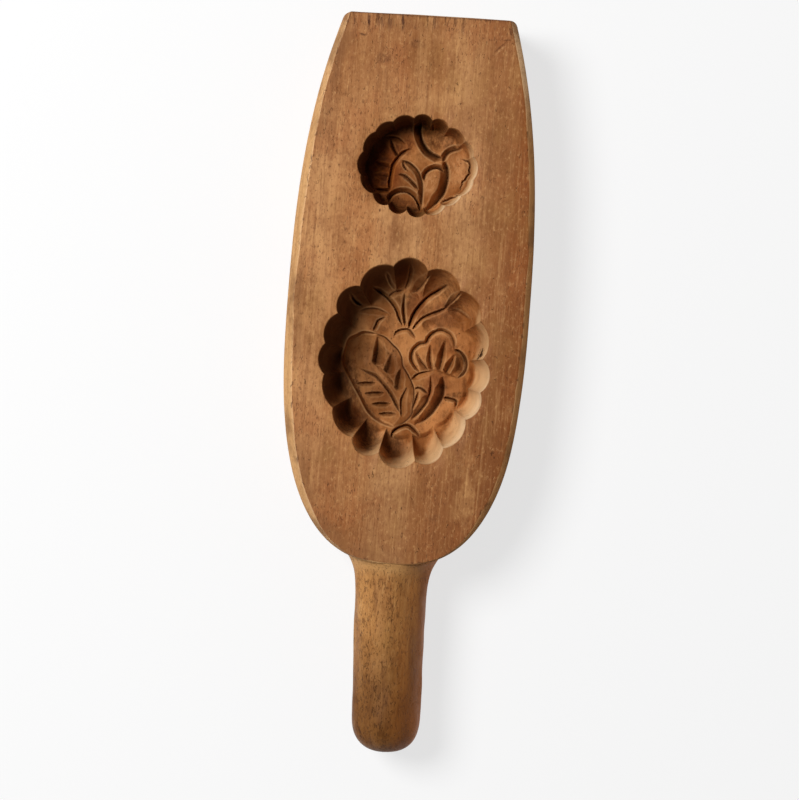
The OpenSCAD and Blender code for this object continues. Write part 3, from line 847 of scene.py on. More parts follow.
def grip_grid():
    """Rings round a bent axis. The radius is an even taper plus a flare that dies away from the foot, and
    the butt is a superellipse."""
    turn = np.linspace(0, 2 * np.pi, AROUND, endpoint=False)
    length = FOOT_Y - BUTT_Y
    straight = np.linspace(-SINK, length - BUTT_LENGTH, GRIP_ROWS)
    t = np.linspace(0, np.pi / 2, BUTT_ROWS + 1)[1:]
    butt = length - BUTT_LENGTH + BUTT_LENGTH * np.sin(t) ** (2 / BUTT_POWER)
    down = np.concatenate([straight, butt])[:, None]
    close = np.concatenate([np.ones(GRIP_ROWS), np.abs(np.cos(t)) ** (2 / BUTT_POWER)])[:, None]
    close[-1] = 0
    share = np.clip(down / length, 0, 1)
    flare = np.exp(-np.clip(down, 0, None) / FLARE_LENGTH)
    radius = NECK_R + (BUTT_R - NECK_R) * share
    shaved = sum(high * np.sin(waves * turn + twist * share + start) for high, waves, twist, start in SHAVING)
    lumps = LUMP * swells(turn * NECK_R, down + 0 * turn, seed=8, length=LUMP_LENGTH)
    radius = (radius + (shaved + lumps) * (1 - flare)) * close
    x = (radius + FLARE_SIDE * flare * close) * np.cos(turn)
    z = AXIS_Z + (radius + FLARE_FACE * flare * close) * np.sin(turn)
    cope = np.clip(1 - down / COPE_LENGTH, 0, 1) ** 1.5
    y = FOOT_Y - down + (foot_line(x) - FOOT_Y) * cope
    tilted = np.clip((down - length + 2 * BUTT_LENGTH) / (2 * BUTT_LENGTH), 0, 1) ** 2
    y = y + BUTT_TILT * tilted * (x + BUTT_R)
    x = x + BEND_START + (BEND_END - BEND_START) * share ** BEND_POWER
    cap = np.tile([0.0, FOOT_Y + SINK, AXIS_Z], (1, AROUND, 1))
    flares = np.concatenate([np.zeros((1, AROUND)), flare * np.ones(AROUND)])
    return np.concatenate([cap, np.stack([x, y, z], -1)]), flares


grip_points, grip_flare = grip_grid()
grip = closed_piece("shaved_grip", [grip_points], [], {"flare": grip_flare.ravel()}, GRIP_SHARP, flip=True)

# %% [markdown]
# Materials are built from nodes. A small helper class keeps the wiring short: each method makes a
# node, sets its values and returns its output, so a pattern reads as one expression. Colours
# are written as they look on a screen and turned into the linear values that sockets take.

# %% A pen for drawing finishes
BUMP = 0.00022


def srgb(red, green, blue):
    """A screen colour, 0 to 255, as the linear colour that Blender's sockets take."""
    c = np.array([red, green, blue]) / 255
    linear = np.where(c <= 0.04045, c / 12.92, ((c + 0.055) / 1.055) ** 2.4)
    return (*(float(v) for v in linear), 1.0)


class FinishPen:
    """Adds nodes to one material or world and links them."""

    def __init__(self, owner):
        self.owner = owner
        self.owner.use_nodes = True
        self.tree = self.owner.node_tree
        self.tree.nodes.clear()
        self.place = self.add("ShaderNodeTexCoord", "Object")

    def add(self, kind, output, inputs=(), **settings):
        """One output of a new node. An input is its name or number and a plain value or an output to link."""
        made = self.tree.nodes.new(kind)
        for key, value in settings.items():
            setattr(made, key, value)
        for key, value in inputs:
            if isinstance(value, bpy.types.NodeSocket):
                self.tree.links.new(value, made.inputs[key])
            else:
                made.inputs[key].default_value = value
        return made.outputs[output]

    def noise(self, scale, offset=(0, 0, 0), detail=3.0, rough=0.55, warp=0.0):
        """Noise stretched by a scale along each axis."""
        mapped = (("Vector", self.place), ("Scale", scale), ("Location", offset))
        place = self.add("ShaderNodeMapping", "Vector", mapped)
        look = (("Scale", 1.0), ("Detail", detail), ("Roughness", rough), ("Distortion", warp))
        return self.add("ShaderNodeTexNoise", "Fac", (("Vector", place), *look))

    def between(self, value, low, high, to_low=0.0, to_high=1.0):
        """A smooth step from to_low, where the value is low, to to_high, where it is high."""
        ends = (("From Min", low), ("From Max", high), ("To Min", to_low), ("To Max", to_high))
        inputs = (("Value", value), *ends)
        return self.add("ShaderNodeMapRange", "Result", inputs, interpolation_type="SMOOTHSTEP")

    def reckon(self, kind, a, b):
        """One sum with two values, such as ADD or MAXIMUM."""
        return self.add("ShaderNodeMath", 0, ((0, a), (1, b)), operation=kind)

    def times(self, product, *others):
        """The product of all the values."""
        for other in others:
            product = self.reckon("MULTIPLY", product, other)
        return product

    def blend(self, share, a, b, kind="MIX"):
        """Colour a with a share of colour b."""
        return self.add("ShaderNodeMix", 2, ((0, share), (6, a), (7, b)), data_type="RGBA", blend_type=kind)

    def coats(self, colour, *coats):
        """The colour under coats laid on in turn. A coat is its share, 0 to 1, and its screen colour."""
        for share, tone in coats:
            colour = self.blend(share, colour, srgb(*tone))
        return colour

    def mark(self, name):
        """A number that rides on the mesh's points."""
        return self.add("ShaderNodeAttribute", "Fac", attribute_name=name)

    def axis(self, letter):
        """The place along one axis, in metres."""
        return self.add("ShaderNodeSeparateXYZ", letter, ((0, self.place),))

    def spot(self, x, y, half_x, half_y, turn=0.0, z=0.0, half_z=1000.0):
        """1 in the middle of an oval, falling to 0 at its border, with sizes in mm. It reaches through the
        board unless half_z is small."""
        mapped = (
            ("Vector", self.place),
            ("Location", (x * MM, y * MM, z * MM)),
            ("Rotation", (0, 0, math.radians(turn))),
            ("Scale", (half_x * MM, half_y * MM, half_z * MM)),
        )
        place = self.add("ShaderNodeMapping", "Vector", mapped, vector_type="TEXTURE")
        return self.add("ShaderNodeTexGradient", "Fac", (("Vector", place),), gradient_type="SPHERICAL")

    def finished(self, shader, kind="ShaderNodeOutputMaterial"):
        """The material or world, with the shader as its surface."""
        out = self.tree.nodes.new(kind)
        self.tree.links.new(shader, out.inputs["Surface"])
        return self.owner

    def surface(self, colour, rough, height, shine):
        """The finished wood, with the height as fine relief."""
        normal = self.add("ShaderNodeBump", "Normal", (("Distance", BUMP), ("Height", height)))
        look = (("Base Color", colour), ("Roughness", rough), ("Specular IOR Level", shine))
        return self.finished(self.add("ShaderNodeBsdfPrincipled", "BSDF", (("Normal", normal), *look)))


print("finish pen ready")

# %% [markdown]
# The board is a close-grained fruitwood, brown from oil and handling: paler and yellower at the
# left, redder towards the right, dull and spotted near the foot and the free end. Long fibres,
# short open pores and dark specks run with the length. We start with the bare wood.

# %% Patterns and bare wood
def board_patterns(pen):
    """The noises and marks that the board's finish is drawn from, by name."""
    return SimpleNamespace(
        x=pen.axis("X"), y=pen.axis("Y"), edge=pen.mark("edge"), side=pen.mark("side"),
        band=pen.noise((38, 2.2, 38), detail=2, warp=0.5),
        grain=pen.noise((240, 13, 240), offset=(4, 1, 2), detail=5, rough=0.65, warp=0.5),
        fibre=pen.noise((1150, 48, 1150), detail=3, rough=0.6, warp=0.5),
        speckle=pen.noise((720, 420, 720), offset=(6, 2, 7), detail=4, rough=0.7),
        cloud=pen.noise((52, 42, 52), offset=(3, 7, 1), detail=6, rough=0.62),
        patch=pen.noise((75, 40, 75), offset=(8, 3, 5), detail=3),
        blotch=pen.noise((26, 30, 26), offset=(1, 6, 2), detail=5, rough=0.6, warp=0.6),
    )


def bare_board(pen, wood):
    """Colour bands along the length, then clouds, grain, fibres and mottling with a dark and a pale side."""
    x, y, cloud, patch = wood.x, wood.y, wood.cloud, wood.patch
    colour = pen.blend(pen.between(wood.band, 0.36, 0.64), srgb(198, 147, 96), srgb(183, 124, 73))
    shift = pen.reckon("ADD", x, pen.times(pen.reckon("SUBTRACT", wood.band, 0.5), 0.05))
    top_left = pen.times(pen.between(y, 0.080, 0.140, 0, 0.74), pen.between(x, 0.032, -0.004, 0.28, 1))
    low_right = pen.times(pen.between(y, 0.060, -0.030, 0, 0.5), pen.between(x, 0.012, 0.036))
    colour = pen.coats(
        colour,
        (pen.between(shift, 0.002, 0.038, 0, 0.95), (134, 72, 27)),
        (pen.between(x, -0.018, -0.040, 0, 0.22), (206, 156, 107)),
        (pen.between(y, 0.005, -0.062, 0, 0.64), (132, 79, 40)),
        (top_left, (138, 80, 35)),
        (low_right, (112, 60, 21)),
        (pen.between(wood.blotch, 0.50, 0.66, 0, 0.45), (136, 80, 40)),
        (pen.between(cloud, 0.50, 0.70, 0, 0.62), (130, 80, 40)),
        (pen.between(cloud, 0.48, 0.28, 0, 0.45), (206, 152, 96)),
        (pen.between(patch, 0.50, 0.66, 0, 0.35), (166, 99, 54)),
        (pen.between(patch, 0.46, 0.30, 0, 0.3), (160, 114, 62)),
    )
    streaks = ((wood.grain, 0.42, 0.34), (wood.fibre, 0.34, 0.26), (wood.speckle, 0.54, 0.42))
    for pattern, dark, pale in streaks:
        colour = pen.coats(
            colour,
            (pen.between(pattern, 0.50, 0.72, 0, dark), (118, 68, 34)),
            (pen.between(pattern, 0.47, 0.28, 0, pale), (210, 158, 102)),
        )
    return colour


def pores_and_pits(pen, wood, colour):
    """Short pores in patches, a few small pits, dark specks and pale hairs."""
    pores = pen.between(pen.noise((2100, 420, 2100), offset=(9, 2, 4), detail=1), 0.63, 0.71)
    wood.pores = pen.times(pores, pen.between(wood.patch, 0.38, 0.62))
    wood.pits = pen.between(pen.noise((900, 420, 900), offset=(2, 9, 6), detail=3, warp=1.2), 0.67, 0.73)
    specks = pen.between(pen.noise((800, 520, 800), offset=(4, 8, 2), detail=2, warp=1.0), 0.63, 0.69)
    often = pen.reckon("MAXIMUM", pen.between(wood.patch, 0.46, 0.60), pen.between(wood.x, -0.030, -0.040))
    hairs = pen.between(pen.noise((1300, 480, 1300), offset=(5, 5, 1), detail=1, warp=0.8), 0.69, 0.78)
    return pen.coats(
        colour,
        (pen.times(wood.pores, 0.55), (92, 50, 24)),
        (pen.times(wood.pits, 0.6), (74, 40, 18)),
        (pen.times(specks, often, 0.5), (88, 48, 22)),
        (pen.times(hairs, 0.2), (218, 172, 118)),
    )


print("bare wood ready")

# %% [markdown]
# Edges wear first. The planed facets are golden, their upper edges nicked and given a painted
# highlight, and the right facet is painted paler towards the free end as if lit. At the free end
# the edge carries a painted shade line, and where the mold is struck fibres are torn, with scraped
# pale patches between them.

# %% Edges and free end
def planed_edges(pen, wood, colour):
    """Golden facets, paler towards the free end, the right one painted paler there as if lit, with rubbed
    patches, a painted highlight along the arris and nicks.
    """
    x, y, cloud, edge, side = wood.x, wood.y, wood.cloud, wood.edge, wood.side
    left = pen.between(x, 0.006, -0.006)
    dull = pen.times(pen.between(edge, 0.05, 0.6, 0, 0.5), pen.between(cloud, 0.36, 0.60), left)
    cross = pen.noise((150, 560, 150), offset=(3, 1, 4), detail=4, rough=0.7, warp=0.8)
    golden = pen.blend(left, srgb(168, 118, 70), srgb(194, 148, 97))
    # Towards the free end the right facet, which faces away from the lamp, is painted paler than the left as
    # painted light.
    pale = pen.blend(left, srgb(226, 186, 142), srgb(200, 156, 108))
    golden = pen.blend(pen.between(y, 0.095, 0.135, 0, 0.7), golden, pale)
    golden = pen.coats(
        golden,
        (pen.between(wood.grain, 0.48, 0.70, 0, 0.4), (150, 104, 60)),
        (pen.between(wood.speckle, 0.48, 0.68, 0, 0.5), (146, 100, 58)),
        (pen.times(pen.between(cross, 0.60, 0.72), 0.5), (120, 78, 44)),
        (pen.between(cloud, 0.48, 0.66, 0, 0.65), (112, 74, 42)),
    )
    planed = pen.times(pen.between(side, 0.0, 0.3, 0, 0.95), pen.between(edge, 0.0, 0.9))
    colour = pen.blend(planed, pen.coats(colour, (dull, (132, 86, 50))), golden)
    # A painted highlight along the facet's upper edge.
    arris_highlight = pen.times(pen.between(side, 0.0, 0.15), pen.between(side, 0.6, 0.25))
    nicks = pen.between(pen.noise((330, 260, 330), offset=(2, 4, 9), detail=3, warp=0.8), 0.58, 0.66)
    nicks = pen.times(nicks, pen.between(edge, 0.80, 0.95), pen.between(side, 0.9, 0.5))
    return pen.coats(
        colour,
        (pen.times(arris_highlight, pen.between(cloud, 0.60, 0.40, 0, 0.35)), (222, 178, 128)),
        (pen.times(nicks, 0.7), (96, 58, 30)),
    )


def free_end(pen, wood, colour):
    """A painted shade line along the rounded end edge and its facet, torn fibres towards the left, and
    scraped pale patches between them.
    """
    x, y, edge, side = wood.x, wood.y, wood.edge, wood.side
    on_face = pen.between(side, 0.3, 0.0)
    near_end = pen.times(pen.between(y, 0.1395, 0.1470), on_face)
    scraped = pen.between(pen.noise((480, 90, 480), offset=(7, 1, 5), detail=4, rough=0.65), 0.50, 0.64)
    scraped = pen.times(scraped, pen.between(y, 0.136, 0.145), pen.between(x, 0.020, -0.004), on_face, 0.42)
    torn = pen.noise((680, 80, 680), offset=(1, 8, 3), detail=3, rough=0.65, warp=0.4)
    wood.torn = pen.times(pen.between(torn, 0.56, 0.64), near_end, pen.between(x, 0.034, -0.004, 0.25, 1))
    return pen.coats(
        colour,
        (scraped, (206, 150, 100)),
        # Painted shade along the end's rounded edge: on its facet, then on the face beside it.
        (pen.times(pen.between(y, 0.1435, 0.1455, 0, 0.6), side), (120, 74, 38)),
        (pen.times(pen.between(edge, 0.84, 1.0, 0, 0.75), near_end), (92, 54, 28)),
        (pen.times(wood.torn, 0.55), (84, 46, 22)),
    )


print("edges ready")

# %% [markdown]
# Some marks stand alone: a scratch at the upper right, chips at the small mouth, a smudge near the
# foot and cracks at the free end. Each is a small oval on the face, broken up by the mottling.

# %% Single marks on the face
MARK_REACH = 10.0
SCRATCH = (28.9, 137.9, 4.6, 0.6, 46)
# Each mark is its place, its half widths, its turn in degrees and how dark it is.
FACE_MARKS = [
    (28.2, 138.6, 4.4, 0.55, 46, 0.6), (30.7, 141.8, 2.8, 0.5, 4, 0.6), (-21.2, 75.1, 0.45, 1.2, 8, 0.9),
    (-14.9, 69.6, 0.45, 1.3, -6, 0.9), (16.3, -52.0, 3.2, 2.2, 20, 0.35), (-17.5, 131.0, 5.0, 3.4, 15, 0.45),
    (-5.0, 137.5, 4.2, 2.6, -10, 0.4), (-25.1, 145.6, 0.85, 5.6, 2, 1.0), (-11.5, 146.2, 0.8, 5.4, 2, 1.0),
    (-21.0, 145.6, 0.5, 3.6, 4, 0.75), (-30.8, 145.0, 0.5, 1.9, 4, 0.7), (-27.1, 139.6, 2.0, 0.6, -12, 0.8),
    (-7.9, 141.4, 0.6, 1.8, -20, 0.8), (32.3, 144.6, 0.6, 4.4, 16, 0.8),
]


def single_marks(pen, wood, colour):
    """Dark ovals on the face, and the pale burr of the scratch."""
    broken = pen.between(wood.speckle, 0.40, 0.56, 0.3, 1)
    for *oval, dark in FACE_MARKS:
        spot = pen.between(pen.spot(*oval, FACE_Z, MARK_REACH), 0.0, 0.7, 0, dark)
        colour = pen.coats(colour, (pen.times(spot, broken), (84, 46, 22)))
    burr = pen.between(pen.spot(*SCRATCH, FACE_Z, MARK_REACH), 0.0, 0.7, 0, 0.5)
    flaked = pen.between(wood.speckle, 0.62, 0.44, 0.2, 1)
    return pen.coats(colour, (pen.times(burr, flaked), (206, 154, 102)))


print(len(FACE_MARKS), "single marks on the face")

# %% [markdown]
# Inside the hollows the wood is darker and redder. Spots of old oil lie on it, a few pale ones show
# where it was rubbed, and stains darken what is there already; some of the dark spots and stains are
# painted shade on the hollows' shaded left and top. The wear along the walls, partly painted light
# and shade, goes over the spots and under the stains. A black knot sits in the right wall of the large
# hollow.

# %% Wood inside the hollows
PALE, OILY, BROWN = (206, 150, 98), (92, 52, 24), (88, 48, 20)
DEEP_SHADE, SOOTY, SEAM = (80, 42, 18), (76, 40, 17), (84, 44, 18)
SHADE_RED, DULL_RED = (88, 40, 11), (84, 40, 13)
# Each spot is its place, its half widths, its turn in degrees, its share and its screen colour.
# Of these spots, the two deep brown ones on the large hollow's left floor, the near-black ones on the small
# hollow's left side and top, and the two red ones on its left half are painted shade; the rest are oil, dirt
# and rubbed patches.
HOLLOW_SPOTS = [
    (15.0, 89.2, 6.5, 9.0, -5, 0.6, PALE), (4.9, 83.4, 3.5, 7.0, -12, 0.6, PALE),
    (9.0, 101.8, 12.0, 7.0, 10, 0.75, OILY), (13.0, 34.0, 10.0, 8.0, 35, 0.5, OILY),
    (3.5, 96.5, 4.0, 8.0, -35, 0.6, DULL_RED), (-7.0, 97.0, 7.5, 5.5, 25, 0.75, SHADE_RED),
    (-13.6, 81.5, 6.5, 7.0, 0, 0.75, SHADE_RED), (-5.0, 84.5, 7.5, 9.0, 0, 0.6, (104, 52, 18)),
    (-5.0, 73.0, 8.0, 4.5, 0, 0.75, DULL_RED), (15.5, 41.0, 5.0, 5.0, 0, 0.5, OILY),
    (16.4, 28.5, 9.0, 6.0, 0, 0.35, OILY), (-21.0, 0.0, 5.0, 13.0, 12, 0.9, DEEP_SHADE),
    (-14.0, -14.5, 5.0, 10.0, 38, 0.9, DEEP_SHADE), (-1.5, 35.0, 5.5, 4.5, 0, 0.8, BROWN),
    (16.5, 18.5, 7.0, 4.5, 0, 0.55, OILY), (-10.0, 25.0, 7.0, 5.0, 20, 0.6, OILY),
    (-6.6, 14.4, 5.0, 5.0, 0, 0.55, OILY), (18.0, 34.6, 6.0, 4.5, 0, 0.6, BROWN),
    (10.8, 25.2, 5.0, 4.5, 0, 0.5, OILY), (19.6, -12.4, 5.0, 6.0, 0, 0.5, OILY),
    (6.7, -1.4, 5.0, 6.0, 0, 0.4, OILY), (-22.5, -16.5, 7.0, 8.0, 30, 0.85, SOOTY),
    (-12.0, -23.0, 6.5, 7.5, 20, 0.85, SOOTY), (-1.5, -25.0, 6.0, 6.0, 0, 0.75, SOOTY),
    (11.0, -24.5, 3.5, 5.0, 0, 0.4, (84, 46, 20)), (23.2, 10.3, 3.4, 5.6, 10, 0.75, (92, 50, 22)),
    (22.5, -2.0, 6.5, 1.6, 8, 0.85, SEAM), (16.5, 1.0, 3.0, 1.2, -10, 0.8, SEAM),
    (25.0, 3.0, 1.4, 4.0, 0, 0.6, SEAM), (-15.2, 88.0, 6.0, 9.0, 0, 0.8, (70, 28, 6)),
    (-11.0, 73.5, 7.5, 5.0, -15, 0.75, (70, 30, 8)), (-0.5, 69.5, 6.5, 3.2, 0, 0.85, (60, 24, 6)),
    (-3.0, 106.4, 12.0, 5.0, 4, 0.9, (48, 19, 5)),
]
# Each stain is its place, its half widths, its turn and the linear red, green and blue it leaves.
# The stains over the small hollow's left side, upper left and top, and over the large hollow's left wall, are
# painted shade; the others are darker oil stains.
STAINS_AND_SHADE = [
    (-15.0, 87.0, 10.0, 16.0, 8, 0.68, 0.38, 0.16), (-0.5, 70.0, 7.5, 4.6, 0, 0.36, 0.26, 0.16),
    (-10.0, 73.0, 7.0, 5.5, -15, 0.62, 0.44, 0.26), (2.0, 106.0, 9.0, 4.6, 4, 0.42, 0.34, 0.24),
    (-8.5, 99.5, 8.5, 8.0, 0, 0.82, 0.62, 0.46), (-25.8, 3.5, 5.0, 11.0, 8, 0.42, 0.28, 0.18),
    (3.2, 33.6, 5.0, 8.0, -10, 0.55, 0.42, 0.36), (-5.2, 48.0, 7.0, 4.5, 0, 0.58, 0.44, 0.32),
    (13.5, 0.0, 7.0, 9.5, 0, 0.62, 0.50, 0.47), (22.8, -0.5, 6.0, 7.0, 0, 0.70, 0.66, 0.64),
    (14.0, 30.0, 9.0, 7.0, 30, 0.70, 0.60, 0.58), (14.6, 17.2, 8.0, 6.0, 0, 0.70, 0.58, 0.50),
    (-3.2, 7.5, 5.5, 8.0, 25, 0.72, 0.66, 0.66), (-0.7, -26.4, 6.5, 5.0, 0, 0.64, 0.60, 0.60),
    (-20.9, -13.0, 5.5, 7.5, 35, 0.60, 0.40, 0.24),
]
KNOT_CORE, KNOT_BORDER = (29.9, 15.8, 2.2, 3.8, -14, 25.5, 8.0), (29.9, 15.8, 2.4, 4.2, -14, 25.5, 9.0)


def hollow_wood(pen, wood):
    """Clouded dark wood, spots with some painted shade, the walls rubbed and painted pale where they face the
    lamp and painted dark as shade where they don't, crumbs, stains with some painted shade, and the knot.
    """
    cloud, patch, grain, speckle = wood.cloud, wood.patch, wood.grain, wood.speckle
    colour = pen.blend(pen.between(cloud, 0.40, 0.60), srgb(190, 127, 74), srgb(134, 79, 37))
    colour = pen.coats(
        colour,
        (pen.between(patch, 0.52, 0.64, 0, 0.25), (140, 82, 44)),
        (pen.between(grain, 0.50, 0.72, 0, 0.2), (104, 56, 26)),
        (pen.between(speckle, 0.50, 0.72, 0, 0.5), (104, 58, 30)),
    )
    broken = pen.between(speckle, 0.38, 0.58, 0.35, 1)
    for *oval, share, tone in HOLLOW_SPOTS:
        spot = pen.between(pen.spot(*oval), 0.0, 0.6, 0, share)
        colour = pen.coats(colour, (pen.times(spot, broken), tone))
    worn = pen.mark("worn")
    uneven = pen.reckon("ADD", pen.reckon("SUBTRACT", cloud, 0.5), pen.reckon("SUBTRACT", patch, 0.5))
    rubbed_and_lit = pen.reckon("SUBTRACT", worn, pen.times(uneven, 0.6))
    crumbs = pen.between(pen.noise((900, 800, 900), offset=(4, 4, 1), detail=2), 0.64, 0.70)
    # The three pale coats are wear and painted light on the walls facing the lamp, the dark coat is painted
    # shade on the walls facing away, and the last coat is the cuts' rubbed arrises with a painted highlight.
    colour = pen.coats(
        colour,
        (pen.between(rubbed_and_lit, 0.15, 0.42, 0, 0.85), (197, 153, 106)),
        (pen.between(rubbed_and_lit, 0.42, 0.80, 0, 0.7), (222, 182, 134)),
        (pen.between(rubbed_and_lit, 0.85, 1.25, 0, 0.8), (242, 208, 164)),
        (pen.between(grain, 0.50, 0.66, 0, 0.3), (150, 104, 64)),
        (pen.between(worn, 0.0, -0.68, 0, 0.88), (64, 31, 13)),
        (pen.times(crumbs, pen.between(patch, 0.46, 0.60), 0.7), (66, 34, 16)),
        (pen.times(pen.mark("rub_and_highlight"), 0.5), (216, 168, 116)),
    )
    # Stains and painted shade, multiplied in.
    for x, y, half_x, half_y, turn, *left in STAINS_AND_SHADE:
        stain_and_shade = pen.between(pen.spot(x, y, half_x, half_y, turn), 0.0, 0.5)
        colour = pen.blend(stain_and_shade, colour, (*left, 1), "MULTIPLY")
    ragged = pen.times(pen.reckon("SUBTRACT", speckle, 0.5), 1.6)
    knot = pen.between(pen.reckon("ADD", pen.spot(*KNOT_CORE), ragged), 0.28, 0.40)
    knot = pen.times(knot, pen.between(pen.spot(*KNOT_BORDER), 0.0, 0.1), 0.95)
    return pen.coats(colour, (knot, (18, 10, 6)))


print(len(HOLLOW_SPOTS), "spots and", len(STAINS_AND_SHADE), "stains in the hollows")

# %% [markdown]
# The stages go one over the other, and dirt with painted shade in the knife cuts over all of them.
# Grain and mottling also stand up a little, and pores, pits and torn fibres are sunk.

# %% Board wood
def board_wood():
    """The whole finish of the board."""
    pen = FinishPen(bpy.data.materials.new("board_wood_patina"))
    wood = board_patterns(pen)
    colour = bare_board(pen, wood)
    for stage in (pores_and_pits, planed_edges, free_end, single_marks):
        colour = stage(pen, wood, colour)
    hollow = pen.mark("hollow")
    colour = pen.blend(pen.times(hollow, 0.92), colour, hollow_wood(pen, wood))
    # Dirt and painted shade in the cuts, sunk patches and lobe creases.
    colour = pen.coats(colour, (pen.between(pen.mark("dirt_and_shade"), 0.05, 1.0, 0, 0.9), (50, 20, 5)))
    rough = pen.reckon("MAXIMUM", pen.between(wood.cloud, 0.3, 0.75, 0.50, 0.66), pen.times(wood.side, 0.85))
    height = pen.reckon("ADD", pen.times(wood.grain, 0.6), pen.times(wood.speckle, 0.5))
    for dent, depth in ((wood.pores, 0.4), (wood.pits, 1.0), (wood.torn, 0.8)):
        height = pen.reckon("SUBTRACT", height, pen.times(dent, depth))
    return pen.surface(colour, rough, height, pen.between(hollow, 0.0, 0.6, 0.16, 0.04))


board.data.materials.append(board_wood())
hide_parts("mold_board")
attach(board, "root")
print("board wood has", len(board.data.materials[0].node_tree.nodes), "nodes")

# %% [markdown]
# The grip is the same wood, but golden and smoother, because use has polished it, with clusters
# of short dark flecks where the grain dips into the surface. It is painted darker towards the butt
# as shade, and lighter at its right edge as painted light.

# %% Grip wood
# Painted shade that darkens the grip towards the butt.
BUTT_SHADE = (0.42, 0.35, 0.26, 1)
GRIP_SHINE = 0.12


def grip_wood():
    """Golden wood with curled grain and flecks, painted darker towards the butt as shade, redder along the
    right, and painted lighter at its right edge.
    """
    pen = FinishPen(bpy.data.materials.new("grip_wood_polished"))
    x = pen.axis("X")
    band = pen.noise((60, 6, 60), offset=(2, 5, 3), detail=3, warp=0.8)
    grain = pen.noise((330, 34, 330), offset=(1, 4, 8), detail=5, rough=0.65, warp=1.4)
    cloud = pen.noise((95, 75, 95), offset=(5, 1, 6), detail=5, rough=0.66)
    curl = pen.noise((520, 210, 520), offset=(3, 3, 9), detail=3, rough=0.6, warp=1.8)
    flecks = pen.between(pen.noise((1500, 520, 1500), offset=(7, 3, 2), detail=2, warp=0.8), 0.58, 0.68)
    flecks = pen.times(flecks, pen.between(cloud, 0.30, 0.54, 0.3, 1))
    colour = pen.blend(pen.between(band, 0.36, 0.64), srgb(178, 126, 70), srgb(154, 102, 54))
    colour = pen.coats(
        colour,
        (pen.between(cloud, 0.50, 0.70, 0, 0.55), (124, 78, 38)),
        (pen.between(cloud, 0.47, 0.30, 0, 0.45), (198, 148, 90)),
        (pen.between(grain, 0.50, 0.70, 0, 0.55), (112, 68, 32)),
        (pen.between(grain, 0.47, 0.30, 0, 0.40), (204, 154, 96)),
        (pen.between(curl, 0.54, 0.72, 0, 0.65), (84, 46, 18)),
        (pen.between(curl, 0.46, 0.28, 0, 0.36), (196, 146, 88)),
        (pen.times(flecks, 0.5), (78, 42, 18)),
    )
    # Painted shade towards the butt.
    colour = pen.blend(pen.between(pen.axis("Y"), -0.086, -0.136, 0, 0.95), colour, BUTT_SHADE, "MULTIPLY")
    colour = pen.coats(
        colour,
        (pen.between(pen.mark("flare"), 0.04, 0.55, 0, 0.6), (206, 156, 98)),
        (pen.between(x, 0.002, 0.012, 0, 0.5), (150, 86, 38)),
        # The brighter, redder band at the right edge is painted light on the side facing away from the lamp.
        (pen.between(x, 0.011, 0.017, 0, 0.7), (190, 112, 54)),
    )
    rough = pen.between(cloud, 0.3, 0.75, 0.44, 0.60)
    height = pen.reckon("ADD", pen.times(grain, 0.5), pen.times(curl, -0.5))
    return pen.surface(colour, rough, pen.reckon("SUBTRACT", height, flecks), GRIP_SHINE)


grip.data.materials.append(grip_wood())
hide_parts("handle")
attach(grip, "root")
print("grip wood has", len(grip.data.materials[0].node_tree.nodes), "nodes")

# %% [markdown]
# The mold lies on its back on a plain pale floor. The floor is white paint that a camera sees
# partly as its own light, so that it comes out nearly white and still takes the mold's soft
# shadow.

# %% Floor
FLOOR_HALF, FLOOR_DROP = 3.0, 0.0003
FLOOR_WHITE, FLOOR_GLOW = (0.86, 0.86, 0.86, 1), 0.72


def floor_paint():
    """Matt white paint, mixed with a glow for rays that end in the picture."""
    pen = FinishPen(bpy.data.materials.new("floor_paint"))
    seen = 0.0
    for ray in ("Is Camera Ray", "Is Glossy Ray", "Is Transmission Ray"):
        seen = pen.reckon("MAXIMUM", seen, pen.add("ShaderNodeLightPath", ray))
    matt = pen.add("ShaderNodeBsdfDiffuse", 0, (("Color", FLOOR_WHITE),))
    glow = pen.add("ShaderNodeEmission", 0)
    mixed = ((0, pen.times(seen, FLOOR_GLOW)), (1, matt), (2, glow))
    return pen.finished(pen.add("ShaderNodeMixShader", 0, mixed))


corners = np.array([(-1, -1), (1, -1), (1, 1), (-1, 1)]) * FLOOR_HALF
floor_mesh = bpy.data.meshes.new("floor")
floor_mesh.from_pydata([(x, y, -FLOOR_DROP) for x, y in corners], [], [(0, 1, 2, 3)])
floor_mesh.materials.append(floor_paint())
floor = placed("floor", floor_mesh)
print("floor is", 2 * FLOOR_HALF, "m wide")

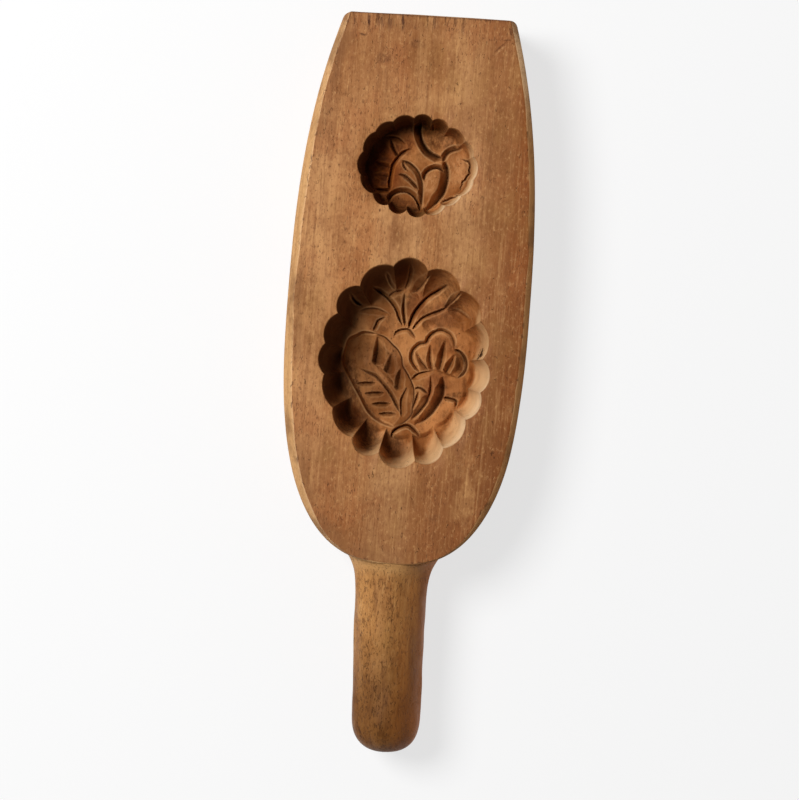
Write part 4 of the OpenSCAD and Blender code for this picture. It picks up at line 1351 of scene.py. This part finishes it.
# %% [markdown]
# One large soft lamp stands to the left and a little above, about a third of the way down from
# overhead, and a pale sky, brightest at the horizon, fills the shadows. Together they give a
# level surface about the light at which a colour renders as it is written.

# %% Light
TO_LAMP = np.array([-0.536, 0.242, 0.809])
LAMP_FAR, LAMP_WIDE, LAMP_WATTS = 1.4, 0.66, 21.0
SKY, HORIZON, SKY_POWER = 0.04, 0.9, 3.0
lamp_data = bpy.data.lights.new("soft_lamp", "AREA")
lamp_data.shape = "DISK"
lamp_data.size = LAMP_WIDE
lamp_data.energy = LAMP_WATTS
lamp = placed("soft_lamp", lamp_data)
lamp.location = TO_LAMP * LAMP_FAR
lamp.rotation_mode = "QUATERNION"
lamp.rotation_quaternion = lamp.location.to_track_quat("Z", "Y")
pen = FinishPen(bpy.data.worlds.new("pale_sky"))
upwards = pen.add("ShaderNodeSeparateXYZ", "Z", ((0, pen.add("ShaderNodeTexCoord", "Generated")),))
low_down = pen.add("ShaderNodeMapRange", "Result", (("Value", upwards), ("To Min", 1.0), ("To Max", 0.0)))
strength = pen.reckon("ADD", pen.times(pen.reckon("POWER", low_down, SKY_POWER), HORIZON), SKY)
pale = pen.add("ShaderNodeBackground", "Background", (("Color", (1, 1, 1, 1)), ("Strength", strength)))
bpy.context.scene.world = pen.finished(pale, "ShaderNodeOutputWorld")
bpy.context.scene.view_settings.view_transform = "Standard"
print("lamp at", [round(v, 2) for v in lamp.location])

# %% [markdown]
# The camera looks straight down on the face from over a metre away, very slightly from the left,
# and is rolled so that the mold leans to the right in the picture.

# %% Camera
AIM = np.array([-1.1, -7.3, FACE_Z]) * MM
CAMERA_FAR = 1.2
FROM_LEFT = math.radians(0.9)
LENS, SENSOR = 134.3, 36.0
camera_data = bpy.data.cameras.new("overhead_camera")
camera_data.lens = LENS
camera_data.sensor_width = SENSOR
camera = placed("overhead_camera", camera_data)
camera.location = AIM + CAMERA_FAR * np.array([-math.sin(FROM_LEFT), 0, math.cos(FROM_LEFT)])
camera.rotation_euler = (0, -FROM_LEFT, LEAN)
bpy.context.scene.camera = camera
print("camera at", [round(v, 3) for v in camera.location])
